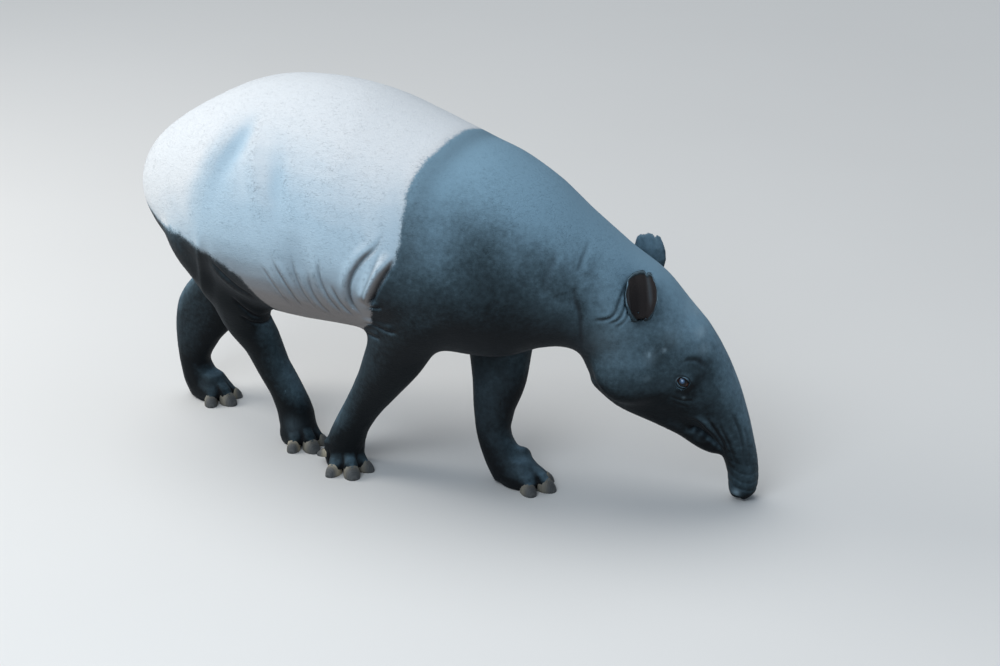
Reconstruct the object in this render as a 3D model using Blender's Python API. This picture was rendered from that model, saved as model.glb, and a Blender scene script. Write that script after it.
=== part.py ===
"""A life-size still model of a grown Malayan tapir, walking with its head down to the ground.

+X runs from the rump to the head, +Y to the animal's left and +Z up, in metres. The hide is modelled as
one closed body from lofts of named sizes, fused and smoothed, and is then parted into named pieces by
cuts 0.3 mm wide. Hooves, ears and eyes are pieces of their own, set into the hide with the same gap.
"""
import math

import bmesh
import bpy
import numpy as np
from mathutils import Matrix, Vector

# Driving sizes
BACK_HEIGHT = 1.0            # top of the back over the loins
HEAD_TURN = math.radians(27)  # the neck bends this far to the animal's left
TURN_START = 0.46            # reach along the body where the neck starts to bend
TURN_END = 0.74              # and where the bend ends
GAP = 0.0003                 # between pieces that touch
VOXEL = 0.007                # cell of the remesh that fuses the lofts
HIDE_FACES = 5300            # triangles kept on the whole hide before it is parted
RING_SIDES = 40
EYE_RADIUS = 0.0185

# Reach along the body and height of the eyes and of the tail's root
EYE = (0.985, 0.352)
EYE_SPREAD = 0.083           # eye centre to the middle of the head
TAIL_ROOT = (-0.526, 0.705)

# Ears: reach and height of the root, its distance from the middle, and how far the cup turns forwards
EARS = {
    "ear_left": (0.898, 0.540, 0.098, math.radians(15)),
    "ear_right": (0.879, 0.522, 0.098, math.radians(38)),
}
EAR_HEIGHT = 0.125
EAR_WIDTH = 0.088
EAR_THICKNESS = 0.026        # half of it, across the back of the cup
EAR_WALL = 0.005

BLACK = (0.022, 0.027, 0.034, 1)
WHITE = (0.62, 0.64, 0.66, 1)
HORN = (0.20, 0.19, 0.17, 1)
EYE_BROWN = (0.02, 0.012, 0.01, 1)


# Rump to snout tip: top reach and height, bottom reach and height, half width, corner power, lean
TRUNK = [
    (-0.540, 0.675, -0.540, 0.620, 0.030, 2.0, 0.00),
    (-0.526, 0.730, -0.522, 0.575, 0.080, 2.1, 0.00),
    (-0.490, 0.785, -0.476, 0.528, 0.126, 2.1, 0.00),
    (-0.422, 0.842, -0.400, 0.468, 0.172, 2.1, 0.00),
    (-0.320, 0.905, -0.300, 0.414, 0.218, 2.1, 0.02),
    (-0.185, 0.970, -0.180, 0.380, 0.262, 2.1, 0.05),
    (0.000, BACK_HEIGHT, 0.000, 0.372, 0.285, 2.1, 0.08),
    (0.150, 0.992, 0.150, 0.380, 0.288, 2.1, 0.08),
    (0.300, 0.955, 0.300, 0.380, 0.280, 2.1, 0.06),
    (0.440, 0.916, 0.440, 0.366, 0.258, 2.1, 0.04),
    (0.555, 0.890, 0.560, 0.370, 0.222, 2.1, 0.02),
    (0.668, 0.838, 0.640, 0.402, 0.178, 2.1, 0.00),
    (0.772, 0.746, 0.700, 0.406, 0.148, 2.1, 0.00),
    (0.865, 0.664, 0.733, 0.386, 0.134, 2.1, 0.00),
    (0.938, 0.607, 0.752, 0.338, 0.128, 2.1, 0.02),
    (1.003, 0.529, 0.815, 0.268, 0.118, 2.1, 0.04),
    (1.054, 0.466, 0.890, 0.240, 0.103, 2.1, 0.04),
    (1.093, 0.398, 0.955, 0.222, 0.086, 2.1, 0.04),
    (1.128, 0.317, 1.008, 0.200, 0.068, 2.2, 0.02),
    (1.154, 0.234, 1.055, 0.168, 0.054, 2.2, 0.00),
    (1.172, 0.160, 1.088, 0.126, 0.045, 2.2, 0.00),
    (1.183, 0.105, 1.102, 0.086, 0.041, 2.2, 0.00),
    (1.186, 0.058, 1.108, 0.050, 0.041, 2.2, 0.00),
    (1.182, 0.022, 1.110, 0.020, 0.038, 2.2, 0.00),
    (1.166, 0.005, 1.122, 0.005, 0.028, 2.2, 0.00),
]


def clear_scene():
    for obj in list(bpy.data.objects):
        bpy.data.objects.remove(obj)


def material(name, colour, roughness):
    mat = bpy.data.materials.new(name)
    mat.use_nodes = True
    shader = mat.node_tree.nodes["Principled BSDF"]
    shader.inputs["Base Color"].default_value = colour
    shader.inputs["Roughness"].default_value = roughness
    shader.inputs["Metallic"].default_value = 0.0
    return mat


def spline(keys, count):
    """A smooth curve through the rows of keys, spaced by the length between them, as count rows."""
    keys = np.asarray(keys, float)
    steps = np.linalg.norm(np.diff(keys[:, :3], axis=0), axis=1)
    knots = np.concatenate([[0], np.cumsum(np.maximum(steps, 1e-6))])
    slopes = np.gradient(keys, knots, axis=0)
    at = np.linspace(0, knots[-1], count)
    k = np.clip(np.searchsorted(knots, at, side="right") - 1, 0, len(knots) - 2)
    span = (knots[k + 1] - knots[k])[:, None]
    t = ((at - knots[k])[:, None]) / span
    return (
        (2 * t**3 - 3 * t**2 + 1) * keys[k]
        + (t**3 - 2 * t**2 + t) * span * slopes[k]
        + (3 * t**2 - 2 * t**3) * keys[k + 1]
        + (t**3 - t**2) * span * slopes[k + 1]
    )


def plan(reach):
    """Where the body's middle line is, seen from above, at this reach from the body's own zero."""
    at = np.linspace(0, 1, 200)
    reach = np.asarray(reach, float)
    points = reach[..., None] * at
    share = np.clip((points - TURN_START) / (TURN_END - TURN_START), 0, 1)
    heading = HEAD_TURN * share * share * (3 - 2 * share)
    x = reach * np.cos(heading).mean(-1)
    y = reach * np.sin(heading).mean(-1)
    return x, y


def heading(reach):
    share = np.clip((np.asarray(reach, float) - TURN_START) / (TURN_END - TURN_START), 0, 1)
    return HEAD_TURN * share * share * (3 - 2 * share)


def on_body(reach, height, side=0.0):
    """A point by its reach, height and distance to the left of the body's middle line."""
    x, y = plan(reach)
    turn = heading(reach)
    return np.stack([x - side * np.sin(turn), y + side * np.cos(turn), height + 0 * x], -1)


def mesh_object(name, points, faces):
    mesh = bpy.data.meshes.new(name)
    mesh.from_pydata([tuple(p) for p in points], [], [tuple(int(i) for i in f) for f in faces])
    mesh.update()
    obj = bpy.data.objects.new(name, mesh)
    bpy.context.scene.collection.objects.link(obj)
    return obj


def tube(name, centres, ups, sides, powers, lean, corners=RING_SIDES):
    """A closed loft. Ring i is a rounded shape about centres[i], reaching ups[i] up and sides[i] across.

    powers squares the ring's corners (2 is an ellipse) and lean widens its lower half against its upper.
    """
    angles = np.linspace(0, 2 * math.pi, corners, endpoint=False)
    c, s = np.cos(angles), np.sin(angles)
    power = (2 / np.asarray(powers, float))[:, None]
    across = np.sign(c) * np.abs(c) ** power * (1 - np.asarray(lean, float)[:, None] * s)
    along = np.sign(s) * np.abs(s) ** power
    rings = centres[:, None] + across[..., None] * sides[:, None] + along[..., None] * ups[:, None]
    count = len(rings)
    points = np.concatenate([rings.reshape(-1, 3), centres[:1], centres[-1:]])
    faces = []
    for i in range(count - 1):
        for j in range(corners):
            k = (j + 1) % corners
            a, b = i * corners, (i + 1) * corners
            faces.append((a + j, a + k, b + k, b + j))
    for j in range(corners):
        k = (j + 1) % corners
        faces.append((count * corners, k, j))
        faces.append((count * corners + 1, (count - 1) * corners + j, (count - 1) * corners + k))
    obj = mesh_object(name, points, faces)
    face_out(obj)
    return obj


def face_out(obj):
    bm = bmesh.new()
    bm.from_mesh(obj.data)
    bmesh.ops.recalc_face_normals(bm, faces=bm.faces)
    if bm.calc_volume(signed=True) < 0:
        bmesh.ops.reverse_faces(bm, faces=bm.faces)
    bm.to_mesh(obj.data)
    bm.free()


def trunk():
    """Rump to snout tip as one loft."""
    rows = spline(TRUNK, 110)
    top = on_body(rows[:, 0], rows[:, 1])
    bottom = on_body(rows[:, 2], rows[:, 3])
    turn = heading((rows[:, 0] + rows[:, 2]) / 2)
    left = np.stack([-np.sin(turn), np.cos(turn), 0 * turn], -1)
    return tube("trunk", (top + bottom) / 2, (top - bottom) / 2, left * rows[:, 4:5], rows[:, 5], rows[:, 6])


def jaw():
    """Lower jaw, from under the cheek to the lower lip. Each row: reach, height, half height, half width."""
    rows = spline([
        (0.815, 0.362, 0.078, 0.092),
        (0.865, 0.298, 0.064, 0.080),
        (0.930, 0.248, 0.046, 0.062),
        (0.995, 0.204, 0.034, 0.047),
        (1.045, 0.163, 0.029, 0.037),
        (1.076, 0.139, 0.020, 0.028),
        (1.093, 0.127, 0.008, 0.014),
    ], 26)
    centres = on_body(rows[:, 0], rows[:, 1])
    turn = heading(rows[:, 0])
    left = np.stack([-np.sin(turn), np.cos(turn), 0 * turn], -1)
    along = np.gradient(centres, axis=0)
    ups = np.cross(along, left)
    ups /= np.linalg.norm(ups, axis=1)[:, None]
    flat = np.zeros(len(rows))
    return tube("jaw", centres, ups * rows[:, 2:3], left * rows[:, 3:4], flat + 2.2, flat)


def limb(name, rows):
    """A leg as a loft down its bones. Each row: x, y, z, half length fore and aft, half width across."""
    rows = spline(rows, 46)
    centres = rows[:, :3]
    along = np.gradient(centres, axis=0)
    along /= np.linalg.norm(along, axis=1)[:, None]
    across = np.array([0.0, 1.0, 0.0]) - along * along[:, 1:2]
    across /= np.linalg.norm(across, axis=1)[:, None]
    fore = np.cross(across, along)
    flat = np.zeros(len(rows))
    return tube(name, centres, fore * rows[:, 3:4], across * rows[:, 4:5], flat + 2.15, flat)


# Each leg from the hip or shoulder down to the foot: x, distance from the middle plane, z, half length, half width
LEGS = {
    "hind_left": [
        (-0.290, 0.115, 0.720, 0.135, 0.070), (-0.305, 0.130, 0.600, 0.150, 0.096),
        (-0.312, 0.131, 0.500, 0.118, 0.092), (-0.362, 0.118, 0.400, 0.098, 0.078),
        (-0.420, 0.098, 0.310, 0.088, 0.060), (-0.472, 0.084, 0.235, 0.087, 0.050),
        (-0.494, 0.076, 0.165, 0.064, 0.045), (-0.500, 0.073, 0.100, 0.044, 0.043),
        (-0.484, 0.072, 0.055, 0.046, 0.047), (-0.462, 0.072, 0.020, 0.048, 0.048),
    ],
    "hind_right": [
        (-0.280, 0.115, 0.720, 0.125, 0.070), (-0.274, 0.126, 0.600, 0.134, 0.086),
        (-0.226, 0.122, 0.500, 0.114, 0.078), (-0.196, 0.106, 0.410, 0.086, 0.072),
        (-0.192, 0.087, 0.340, 0.065, 0.060), (-0.163, 0.072, 0.285, 0.055, 0.050),
        (-0.130, 0.060, 0.205, 0.047, 0.044), (-0.095, 0.052, 0.140, 0.046, 0.044),
        (-0.072, 0.048, 0.080, 0.050, 0.047), (-0.066, 0.047, 0.022, 0.048, 0.048),
    ],
    "fore_right": [
        (0.455, 0.130, 0.740, 0.120, 0.070), (0.440, 0.152, 0.630, 0.145, 0.088),
        (0.398, 0.158, 0.530, 0.126, 0.084), (0.350, 0.146, 0.440, 0.093, 0.074),
        (0.297, 0.135, 0.350, 0.080, 0.064), (0.242, 0.125, 0.262, 0.060, 0.053),
        (0.186, 0.117, 0.180, 0.048, 0.046), (0.150, 0.113, 0.120, 0.047, 0.045),
        (0.129, 0.109, 0.070, 0.050, 0.050), (0.122, 0.107, 0.022, 0.050, 0.052),
    ],
    "fore_left": [
        (0.455, 0.130, 0.740, 0.120, 0.070), (0.460, 0.150, 0.630, 0.145, 0.088),
        (0.462, 0.138, 0.530, 0.130, 0.084), (0.464, 0.110, 0.430, 0.110, 0.074),
        (0.481, 0.080, 0.340, 0.090, 0.065), (0.489, 0.058, 0.260, 0.075, 0.055),
        (0.484, 0.043, 0.185, 0.056, 0.048), (0.489, 0.035, 0.120, 0.046, 0.044),
        (0.514, 0.031, 0.070, 0.047, 0.048), (0.546, 0.030, 0.026, 0.051, 0.052),
    ],
}
# Foot: x and distance from the middle plane of the sole's middle, and how far the toes point outwards
FEET = {
    "hind_left": (-0.446, 0.073, math.radians(-15)),
    "hind_right": (-0.066, 0.046, math.radians(28)),
    "fore_right": (0.122, 0.107, math.radians(42)),
    "fore_left": (0.570, 0.030, math.radians(2)),
}
# Toes of a fore and of a hind foot, by name: turn from the foot's line, reach to the hoof's root, width share, lift
FORE_TOES = {
    "inner": (math.radians(-42), 0.057, 0.92, 0.0),
    "middle": (math.radians(0), 0.068, 1.10, 0.0),
    "outer": (math.radians(42), 0.057, 0.92, 0.0),
    "small": (math.radians(98), 0.045, 0.66, 0.044),
}
HIND_TOES = {
    "inner": (math.radians(-42), 0.053, 0.90, 0.0),
    "middle": (math.radians(0), 0.064, 1.08, 0.0),
    "outer": (math.radians(42), 0.053, 0.90, 0.0),
}
HOOF_LENGTH = 0.040
HOOF_WIDTH = 0.0175          # half width of a middle hoof
HOOF_RISE = 0.037            # height of its back edge
SOLE_RADIUS = 0.052


def side_of(leg):
    return 1.0 if leg.endswith("left") else -1.0


def mirrored(rows, side):
    return [(x, side * y, *rest) for x, y, *rest in rows]


def toe_line(leg, toe):
    """Root and direction of a toe on the ground, its share of the full width, and its lift."""
    x, y, turn = FEET[leg]
    side = side_of(leg)
    toes = FORE_TOES if leg.startswith("fore") else HIND_TOES
    angle, reach, share, lift = toes[toe]
    way = side * (turn + angle)
    direction = np.array([math.cos(way), math.sin(way), 0.0])
    start = np.array([x, side * y, 0.0])
    return start, direction, reach, share, lift


def foot(leg):
    """Sole, and a rounded toe for each hoof, as closed lofts."""
    x, y, turn = FEET[leg]
    side = side_of(leg)
    parts = []
    levels = [(0.076, 0.030), (0.058, 0.041), (0.038, SOLE_RADIUS), (0.015, SOLE_RADIUS), (-0.004, 0.046)]
    rows = spline([(x, side * y, z, r, r) for z, r in levels], 12)
    flat = np.zeros(len(rows))
    ahead = np.array([math.cos(side * turn), math.sin(side * turn), 0.0])
    across = np.array([-ahead[1], ahead[0], 0.0])
    parts.append(tube(leg + "_sole", rows[:, :3], rows[:, 3:4] * ahead, rows[:, 4:5] * across, flat + 2.2, flat))
    toes = FORE_TOES if leg.startswith("fore") else HIND_TOES
    for toe in toes:
        start, direction, reach, share, lift = toe_line(leg, toe)
        width = HOOF_WIDTH * share + 0.005
        across = np.array([-direction[1], direction[0], 0.0])
        rows = spline([
            (0.000, 0.046 + lift, 0.8 * width, 0.8 * width),
            (0.5 * reach, 0.036 + lift, 1.05 * width, 1.05 * width),
            (reach, 0.021 + lift, 0.90 * width, width),
            (reach + 0.010, 0.017 + lift, 0.62 * width, 0.78 * width),
        ], 12)
        centres = start + rows[:, :1] * direction + rows[:, 1:2] * np.array([0.0, 0.0, 1.0])
        up = np.array([0.30 * direction[0], 0.30 * direction[1], 0.954])
        flat = np.zeros(len(rows))
        parts.append(tube(f"{leg}_{toe}", centres, rows[:, 2:3] * up, rows[:, 3:4] * across, flat + 2.1, flat))
    return parts


def hoof(leg, toe):
    """A hoof: rounded in front, flat below, its back edge sunk into the toe."""
    start, direction, reach, share, lift = toe_line(leg, toe)
    width = HOOF_WIDTH * share
    rise = HOOF_RISE * (0.55 + 0.45 * share) - 0.2 * lift
    across = np.array([-direction[1], direction[0], 0.0])
    down = max(0.0, lift - 0.012)
    shape = [(0.0, 0.93, 1.0), (0.3, 1.0, 0.97), (0.6, 0.97, 0.80), (0.84, 0.76, 0.55), (1.0, 0.40, 0.28)]
    shape = spline(shape, 6)
    angles = np.linspace(0, math.pi, 8)
    points, faces = [], []
    for along, wide, high in shape:
        centre = start + direction * (reach - 0.008 + along * HOOF_LENGTH * (0.6 + 0.4 * share))
        for angle in angles:
            sideways = width * wide * math.cos(angle)
            height = rise * high * math.sin(angle) ** 0.8
            points.append(centre + across * sideways + Vector((0, 0, height + down)))
    n = len(angles)
    for i in range(len(shape) - 1):
        for j in range(n):
            k = (j + 1) % n
            faces.append((i * n + j, i * n + k, (i + 1) * n + k, (i + 1) * n + j))
    faces.append(tuple(reversed(range(n))))
    faces.append(tuple(range((len(shape) - 1) * n, len(shape) * n)))
    obj = mesh_object(f"hoof_{leg}_{toe}", points, faces)
    face_out(obj)
    return obj


def tail():
    """A short tail that hangs close to the rump."""
    x, z = TAIL_ROOT
    rows = spline([
        (x + 0.030, 0.0, z + 0.012, 0.024, 0.024), (x - 0.004, 0.0, z, 0.021, 0.022),
        (x - 0.022, 0.0, z - 0.035, 0.016, 0.018), (x - 0.030, 0.0, z - 0.075, 0.011, 0.013),
        (x - 0.032, 0.0, z - 0.100, 0.006, 0.007),
    ], 10)
    centres = rows[:, :3]
    along = np.gradient(centres, axis=0)
    along /= np.linalg.norm(along, axis=1)[:, None]
    across = np.array([[0.0, 1.0, 0.0]]) + 0 * centres
    fore = np.cross(across, along)
    flat = np.zeros(len(rows))
    return tube("tail", centres, fore * rows[:, 3:4], across * rows[:, 4:5], flat + 2, flat, 14)


def ball(name, centre, radii, axes=None, segments=24, rings=14):
    """An ellipsoid with these radii along the three rows of axes."""
    bm = bmesh.new()
    bmesh.ops.create_uvsphere(bm, u_segments=segments, v_segments=rings, radius=1.0)
    turn = np.identity(3) if axes is None else np.asarray(axes, float)
    for vert in bm.verts:
        vert.co = Vector(np.asarray(centre) + (np.array(vert.co) * radii) @ turn)
    mesh = bpy.data.meshes.new(name)
    bm.to_mesh(mesh)
    bm.free()
    obj = bpy.data.objects.new(name, mesh)
    bpy.context.scene.collection.objects.link(obj)
    face_out(obj)
    return obj


def head_axes(lean, outward, side):
    """Axes for a piece on the side of the head: outward, forward and up, turned with the head."""
    turn = HEAD_TURN
    ahead = np.array([math.cos(turn), math.sin(turn), 0.0])
    left = np.array([-math.sin(turn), math.cos(turn), 0.0]) * side
    up = np.array([0.0, 0.0, 1.0])
    out = math.cos(outward) * left + math.sin(outward) * ahead
    out = math.cos(lean) * out + math.sin(lean) * up
    out /= np.linalg.norm(out)
    across = np.cross(up, out)
    across /= np.linalg.norm(across)
    return out, across, np.cross(out, across)


def bulges():
    """Bone and muscle that stand out from the lofts of the head: cheek, brow and the root of each ear."""
    made = []
    for side in (1, -1):
        out, across, up = head_axes(0.0, math.radians(10), side)
        cheek = on_body(0.862, 0.385, side * 0.078)
        made.append(ball("cheek", cheek, (0.058, 0.098, 0.105), (out, across, up)))
        brow = on_body(1.000, 0.392, side * 0.066)
        made.append(ball("brow", brow, (0.030, 0.050, 0.036), (out, across, up)))
        reach, height, spread, _ = EARS["ear_left" if side > 0 else "ear_right"]
        ear_base = on_body(reach - 0.005, height - 0.02, side * (spread - 0.022))
        made.append(ball("ear_base", ear_base, (0.036, 0.044, 0.048), (out, across, up)))
    return made


def fuse(parts, name, voxel):
    """Joins closed lofts into one skin, all of one cell size."""
    bm = bmesh.new()
    for part in parts:
        bm.from_mesh(part.data)
        bpy.data.objects.remove(part)
    mesh = bpy.data.meshes.new(name)
    bm.to_mesh(mesh)
    bm.free()
    obj = bpy.data.objects.new(name, mesh)
    bpy.context.scene.collection.objects.link(obj)
    remesh = obj.modifiers.new("fuse", "REMESH")
    remesh.mode = "VOXEL"
    remesh.voxel_size = voxel
    bake(obj)
    return obj


def bake(obj):
    """Applies every modifier of obj."""
    graph = bpy.context.evaluated_depsgraph_get()
    mesh = bpy.data.meshes.new_from_object(obj.evaluated_get(graph))
    obj.modifiers.clear()
    obj.data = mesh


def soften(obj):
    """Rounds the stair steps everywhere and blends the hide most where a limb or the head grows from the body."""
    count = len(obj.data.vertices)
    points = np.empty(count * 3)
    obj.data.vertices.foreach_get("co", points)
    points = points.reshape(-1, 3)
    blends = [
        ((-0.23, 0.16, 0.44), 0.20), ((-0.20, -0.16, 0.45), 0.20), ((-0.45, 0.10, 0.46), 0.15),
        ((-0.45, -0.10, 0.46), 0.15), ((0.28, 0.16, 0.42), 0.19), ((0.25, -0.16, 0.44), 0.19),
        ((0.56, 0.14, 0.43), 0.17), ((0.50, -0.14, 0.43), 0.18), ((-0.30, 0.14, 0.72), 0.24),
        ((-0.30, -0.14, 0.72), 0.24), ((0.44, 0.16, 0.74), 0.24), ((0.44, -0.16, 0.74), 0.24),
        (tuple(on_body(0.70, 0.43)), 0.12), ((-0.35, 0.0, 0.42), 0.16), ((0.42, 0.0, 0.38), 0.16),
        (tuple(on_body(0.86, 0.46, 0.10)), 0.13), (tuple(on_body(0.86, 0.46, -0.10)), 0.13),
        (tuple(on_body(1.00, 0.38, 0.08)), 0.06), (tuple(on_body(1.00, 0.38, -0.08)), 0.06),
        (tuple(on_body(0.90, 0.26, 0.05)), 0.10), (tuple(on_body(0.90, 0.26, -0.05)), 0.10),
    ]
    weight = np.zeros(count)
    for centre, radius in blends:
        away = np.linalg.norm(points - np.array(centre), axis=1) / radius
        weight = np.maximum(weight, np.clip(1.4 - 1.4 * away, 0, 1))
    group = obj.vertex_groups.new(name="blends")
    for level in range(1, 11):
        picked = np.flatnonzero(np.round(weight * 10) == level)
        group.add([int(i) for i in picked], level / 10, "REPLACE")
    wide = obj.modifiers.new("blend", "SMOOTH")
    wide.factor = 0.5
    wide.iterations = 60
    wide.vertex_group = group.name
    steps = obj.modifiers.new("steps", "SMOOTH")
    steps.factor = 0.5
    steps.iterations = 5
    bake(obj)


def thin_out(obj, triangles):
    """Fewer triangles, with the finest kept where the form turns quickest."""
    now = sum(len(p.vertices) - 2 for p in obj.data.polygons)
    fewer = obj.modifiers.new("fewer", "DECIMATE")
    fewer.ratio = triangles / now
    fewer.use_collapse_triangulate = True
    bake(obj)


def level_soles(obj):
    """Cuts the soles flat at the ground."""
    bm = bmesh.new()
    bm.from_mesh(obj.data)
    everything = bm.verts[:] + bm.edges[:] + bm.faces[:]
    bmesh.ops.bisect_plane(bm, geom=everything, plane_co=(0, 0, 0), plane_no=(0, 0, -1), clear_outer=True)
    open_edges = [e for e in bm.edges if e.is_boundary]
    bmesh.ops.holes_fill(bm, edges=open_edges, sides=0)
    bmesh.ops.triangulate(bm, faces=[f for f in bm.faces if len(f.verts) > 4])
    bm.to_mesh(obj.data)
    bm.free()
    face_out(obj)


def grown(obj):
    """A cutter that is obj with the gap added all round."""
    cutter = obj.copy()
    cutter.data = obj.data.copy()
    bpy.context.scene.collection.objects.link(cutter)
    swell = cutter.modifiers.new("gap", "DISPLACE")
    swell.strength = GAP
    swell.mid_level = 0.0
    bake(cutter)
    return cutter


def combine(obj, others, operation):
    """One Boolean of obj with all the others, which are then removed."""
    group = bpy.data.collections.new("tools")
    for other in others:
        group.objects.link(other)
    step = obj.modifiers.new(operation.lower(), "BOOLEAN")
    step.operation = operation
    step.operand_type = "COLLECTION"
    step.collection = group
    step.solver = "MANIFOLD"
    bake(obj)
    for other in others:
        bpy.data.objects.remove(other)
    bpy.data.collections.remove(group)


def sheet(points):
    """A thin curved cutter through a grid of points, as thick as the gap."""
    rows, columns = points.shape[:2]
    flat = points.reshape(-1, 3)
    faces = []
    for i in range(rows - 1):
        for j in range(columns - 1):
            a = i * columns + j
            faces += [(a, a + 1, a + columns + 1), (a, a + columns + 1, a + columns)]
    obj = mesh_object("sheet", flat, faces)
    thick = obj.modifiers.new("gap", "SOLIDIFY")
    thick.thickness = GAP
    thick.offset = 0.0
    bake(obj)
    face_out(obj)
    return obj


def disc(centre, normal, radius):
    """A square sheet across a limb."""
    normal = np.asarray(normal, float)
    normal = normal / np.linalg.norm(normal)
    first = np.cross(normal, [0.0, 1.0, 0.0] if abs(normal[1]) < 0.9 else [1.0, 0.0, 0.0])
    first /= np.linalg.norm(first)
    second = np.cross(normal, first)
    at = np.array([-radius, radius])
    return sheet(np.asarray(centre) + at[:, None, None] * first + at[None, :, None] * second)


def roof(leg):
    """The sheet that parts a leg from the trunk: it rises outwards from just under the belly."""
    side = side_of(leg)
    out = np.linspace(0.0, 0.42, 8)[None, :]
    if leg.startswith("hind"):
        x = np.linspace(-0.80, 0.06, 18)[:, None]
        drop = 1.1 * np.maximum(0, x + 0.15)
    else:
        x = np.linspace(0.08, 0.74, 16)[:, None]
        drop = 1.2 * np.maximum(0, 0.30 - x) + 1.3 * np.maximum(0, x - 0.56)
    belly = np.interp(x, [row[2] for row in TRUNK[:14]], [row[3] for row in TRUNK[:14]])
    level = belly - 0.035 - drop + 1.0 * out
    return sheet(np.stack(np.broadcast_arrays(x, side * out, level), -1))


def loose_parts(obj):
    """Splits obj into its separate closed surfaces, in the order of their first faces."""
    bm = bmesh.new()
    bm.from_mesh(obj.data)
    seen = set()
    made = []
    for first in bm.faces:
        if first in seen:
            continue
        seen.add(first)
        stack, found = [first], []
        while stack:
            face = stack.pop()
            found.append(face)
            for edge in face.edges:
                for other in edge.link_faces:
                    if other not in seen:
                        seen.add(other)
                        stack.append(other)
        index = {}
        points, faces = [], []
        for face in found:
            for vert in face.verts:
                if vert not in index:
                    index[vert] = len(points)
                    points.append(tuple(vert.co))
            faces.append(tuple(index[v] for v in face.verts))
        made.append((points, faces))
    bm.free()
    bpy.data.objects.remove(obj)
    return [mesh_object("piece", points, faces) for points, faces in made]


def volume(obj):
    bm = bmesh.new()
    bm.from_mesh(obj.data)
    found = bm.calc_volume()
    bm.free()
    return found


def holds(obj, point):
    """Whether this point is inside obj: the angles that its triangles fill, seen from there, make a whole sphere."""
    mesh = obj.data
    mesh.calc_loop_triangles()
    points = np.array([v.co for v in mesh.vertices]) - np.asarray(point, float)
    a, b, c = np.swapaxes(points[[t.vertices[:] for t in mesh.loop_triangles]], 0, 1)
    la, lb, lc = (np.linalg.norm(corner, axis=1) for corner in (a, b, c))
    triple = (a * np.cross(b, c)).sum(1)
    dots = la * lb * lc + (a * b).sum(1) * lc + (b * c).sum(1) * la + (c * a).sum(1) * lb
    return abs(np.arctan2(triple, dots).sum()) > math.pi


def part(obj, cutters, seeds):
    """Cuts obj with the sheets and gives each piece the name of the seed point that is inside it."""
    combine(obj, cutters, "DIFFERENCE")
    bpy.context.view_layer.update()
    pieces = sorted(loose_parts(obj), key=volume, reverse=True)
    named = {}
    for piece in pieces:
        names = [n for n in seeds if n not in named and holds(piece, seeds[n])]
        if names:
            piece.name = names[0]
            named[names[0]] = piece
        else:
            bpy.data.objects.remove(piece)
    return named


def ear(name):
    """An upright oval cup, open forwards and outwards, on a short stalk."""
    reach, height, spread, turn = EARS[name]
    side = side_of(name)
    axes = head_axes(0.0, turn, side)
    out, _, up = axes
    root = on_body(reach, height, side * spread)
    centre = root + up * (0.46 * EAR_HEIGHT)
    shell = ball(name, centre, (EAR_THICKNESS, EAR_WIDTH / 2, 0.56 * EAR_HEIGHT), axes, 16, 10)
    hollow_radii = (EAR_THICKNESS + EAR_WALL, EAR_WIDTH / 2 - EAR_WALL, 0.47 * EAR_HEIGHT)
    hollow = ball("hollow", centre + out * 0.017 + up * 0.012, hollow_radii, axes, 16, 10)
    stalk = ball("stalk", root + up * 0.004 - out * 0.004, (0.022, 0.026, 0.031), axes, 12, 8)
    combine(shell, [hollow], "DIFFERENCE")
    combine(shell, [stalk], "UNION")
    return shell


def eye(side):
    centre = on_body(*EYE, side * EYE_SPREAD)
    return ball("eye_left" if side > 0 else "eye_right", centre, (EYE_RADIUS,) * 3, None, 14, 9)


def lids(side):
    """The fold round the eye, as a rounded mound to fuse with the hide."""
    out, across, up = head_axes(0.0, math.radians(6), side)
    centre = on_body(*EYE, side * (EYE_SPREAD - 0.001))
    return ball("lids", centre, (0.0235, 0.031, 0.026), (out, across, up), 18, 10)


def lid_opening(side):
    """The almond between the lids, cut away to bare the eye."""
    out, across, up = head_axes(0.0, math.radians(6), side)
    centre = on_body(*EYE, side * (EYE_SPREAD + 0.020))
    tilt = math.radians(-40)
    first = math.cos(tilt) * across + math.sin(tilt) * up
    second = np.cross(out, first)
    return ball("opening", centre, (0.016, 0.0165, 0.0125), (out, first, second), 16, 10)


def nostril(side):
    centre = on_body(1.134, 0.014, side * 0.021)
    out, across, up = head_axes(math.radians(-50), math.radians(-20), side)
    return ball("nostril", centre, (0.017, 0.0065, 0.010), (out, across, up), 14, 8)


def mouth_sheet():
    """The line of the mouth, from the lips back to its corner and down behind the chin."""
    line = spline([
        (1.078, 0.090), (1.099, 0.118), (1.092, 0.142), (1.075, 0.162), (1.055, 0.180), (1.031, 0.200),
        (0.993, 0.216), (0.955, 0.226), (0.925, 0.220), (0.905, 0.190), (0.895, 0.130),
    ], 30)
    across = np.linspace(-0.14, 0.14, 3)
    rows = [on_body(line[:, 0], line[:, 1], s) for s in across]
    return sheet(np.stack(rows, 1))


def hide():
    """The whole body as one closed skin."""
    parts = [trunk(), jaw()]
    for leg, rows in LEGS.items():
        parts.append(limb(leg, mirrored(rows, side_of(leg))))
        parts += foot(leg)
    parts += bulges()
    body = fuse(parts, "hide", VOXEL)
    soften(body)
    thin_out(body, HIDE_FACES)
    level_soles(body)
    return body


def finish(obj, mat):
    obj.data.materials.clear()
    obj.data.materials.append(mat)
    obj.data.shade_smooth()
    obj.data.set_sharp_from_angle(angle=math.radians(40))


def centre_on_floor():
    """Moves the whole model so that its box stands on the origin."""
    objects = [o for o in bpy.context.scene.objects if o.type == "MESH"]
    corners = np.array([v.co for o in objects for v in o.data.vertices])
    low, high = corners.min(axis=0), corners.max(axis=0)
    shift = Matrix.Translation((-(low[0] + high[0]) / 2, -(low[1] + high[1]) / 2, -low[2]))
    for obj in objects:
        obj.data.transform(shift)


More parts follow.
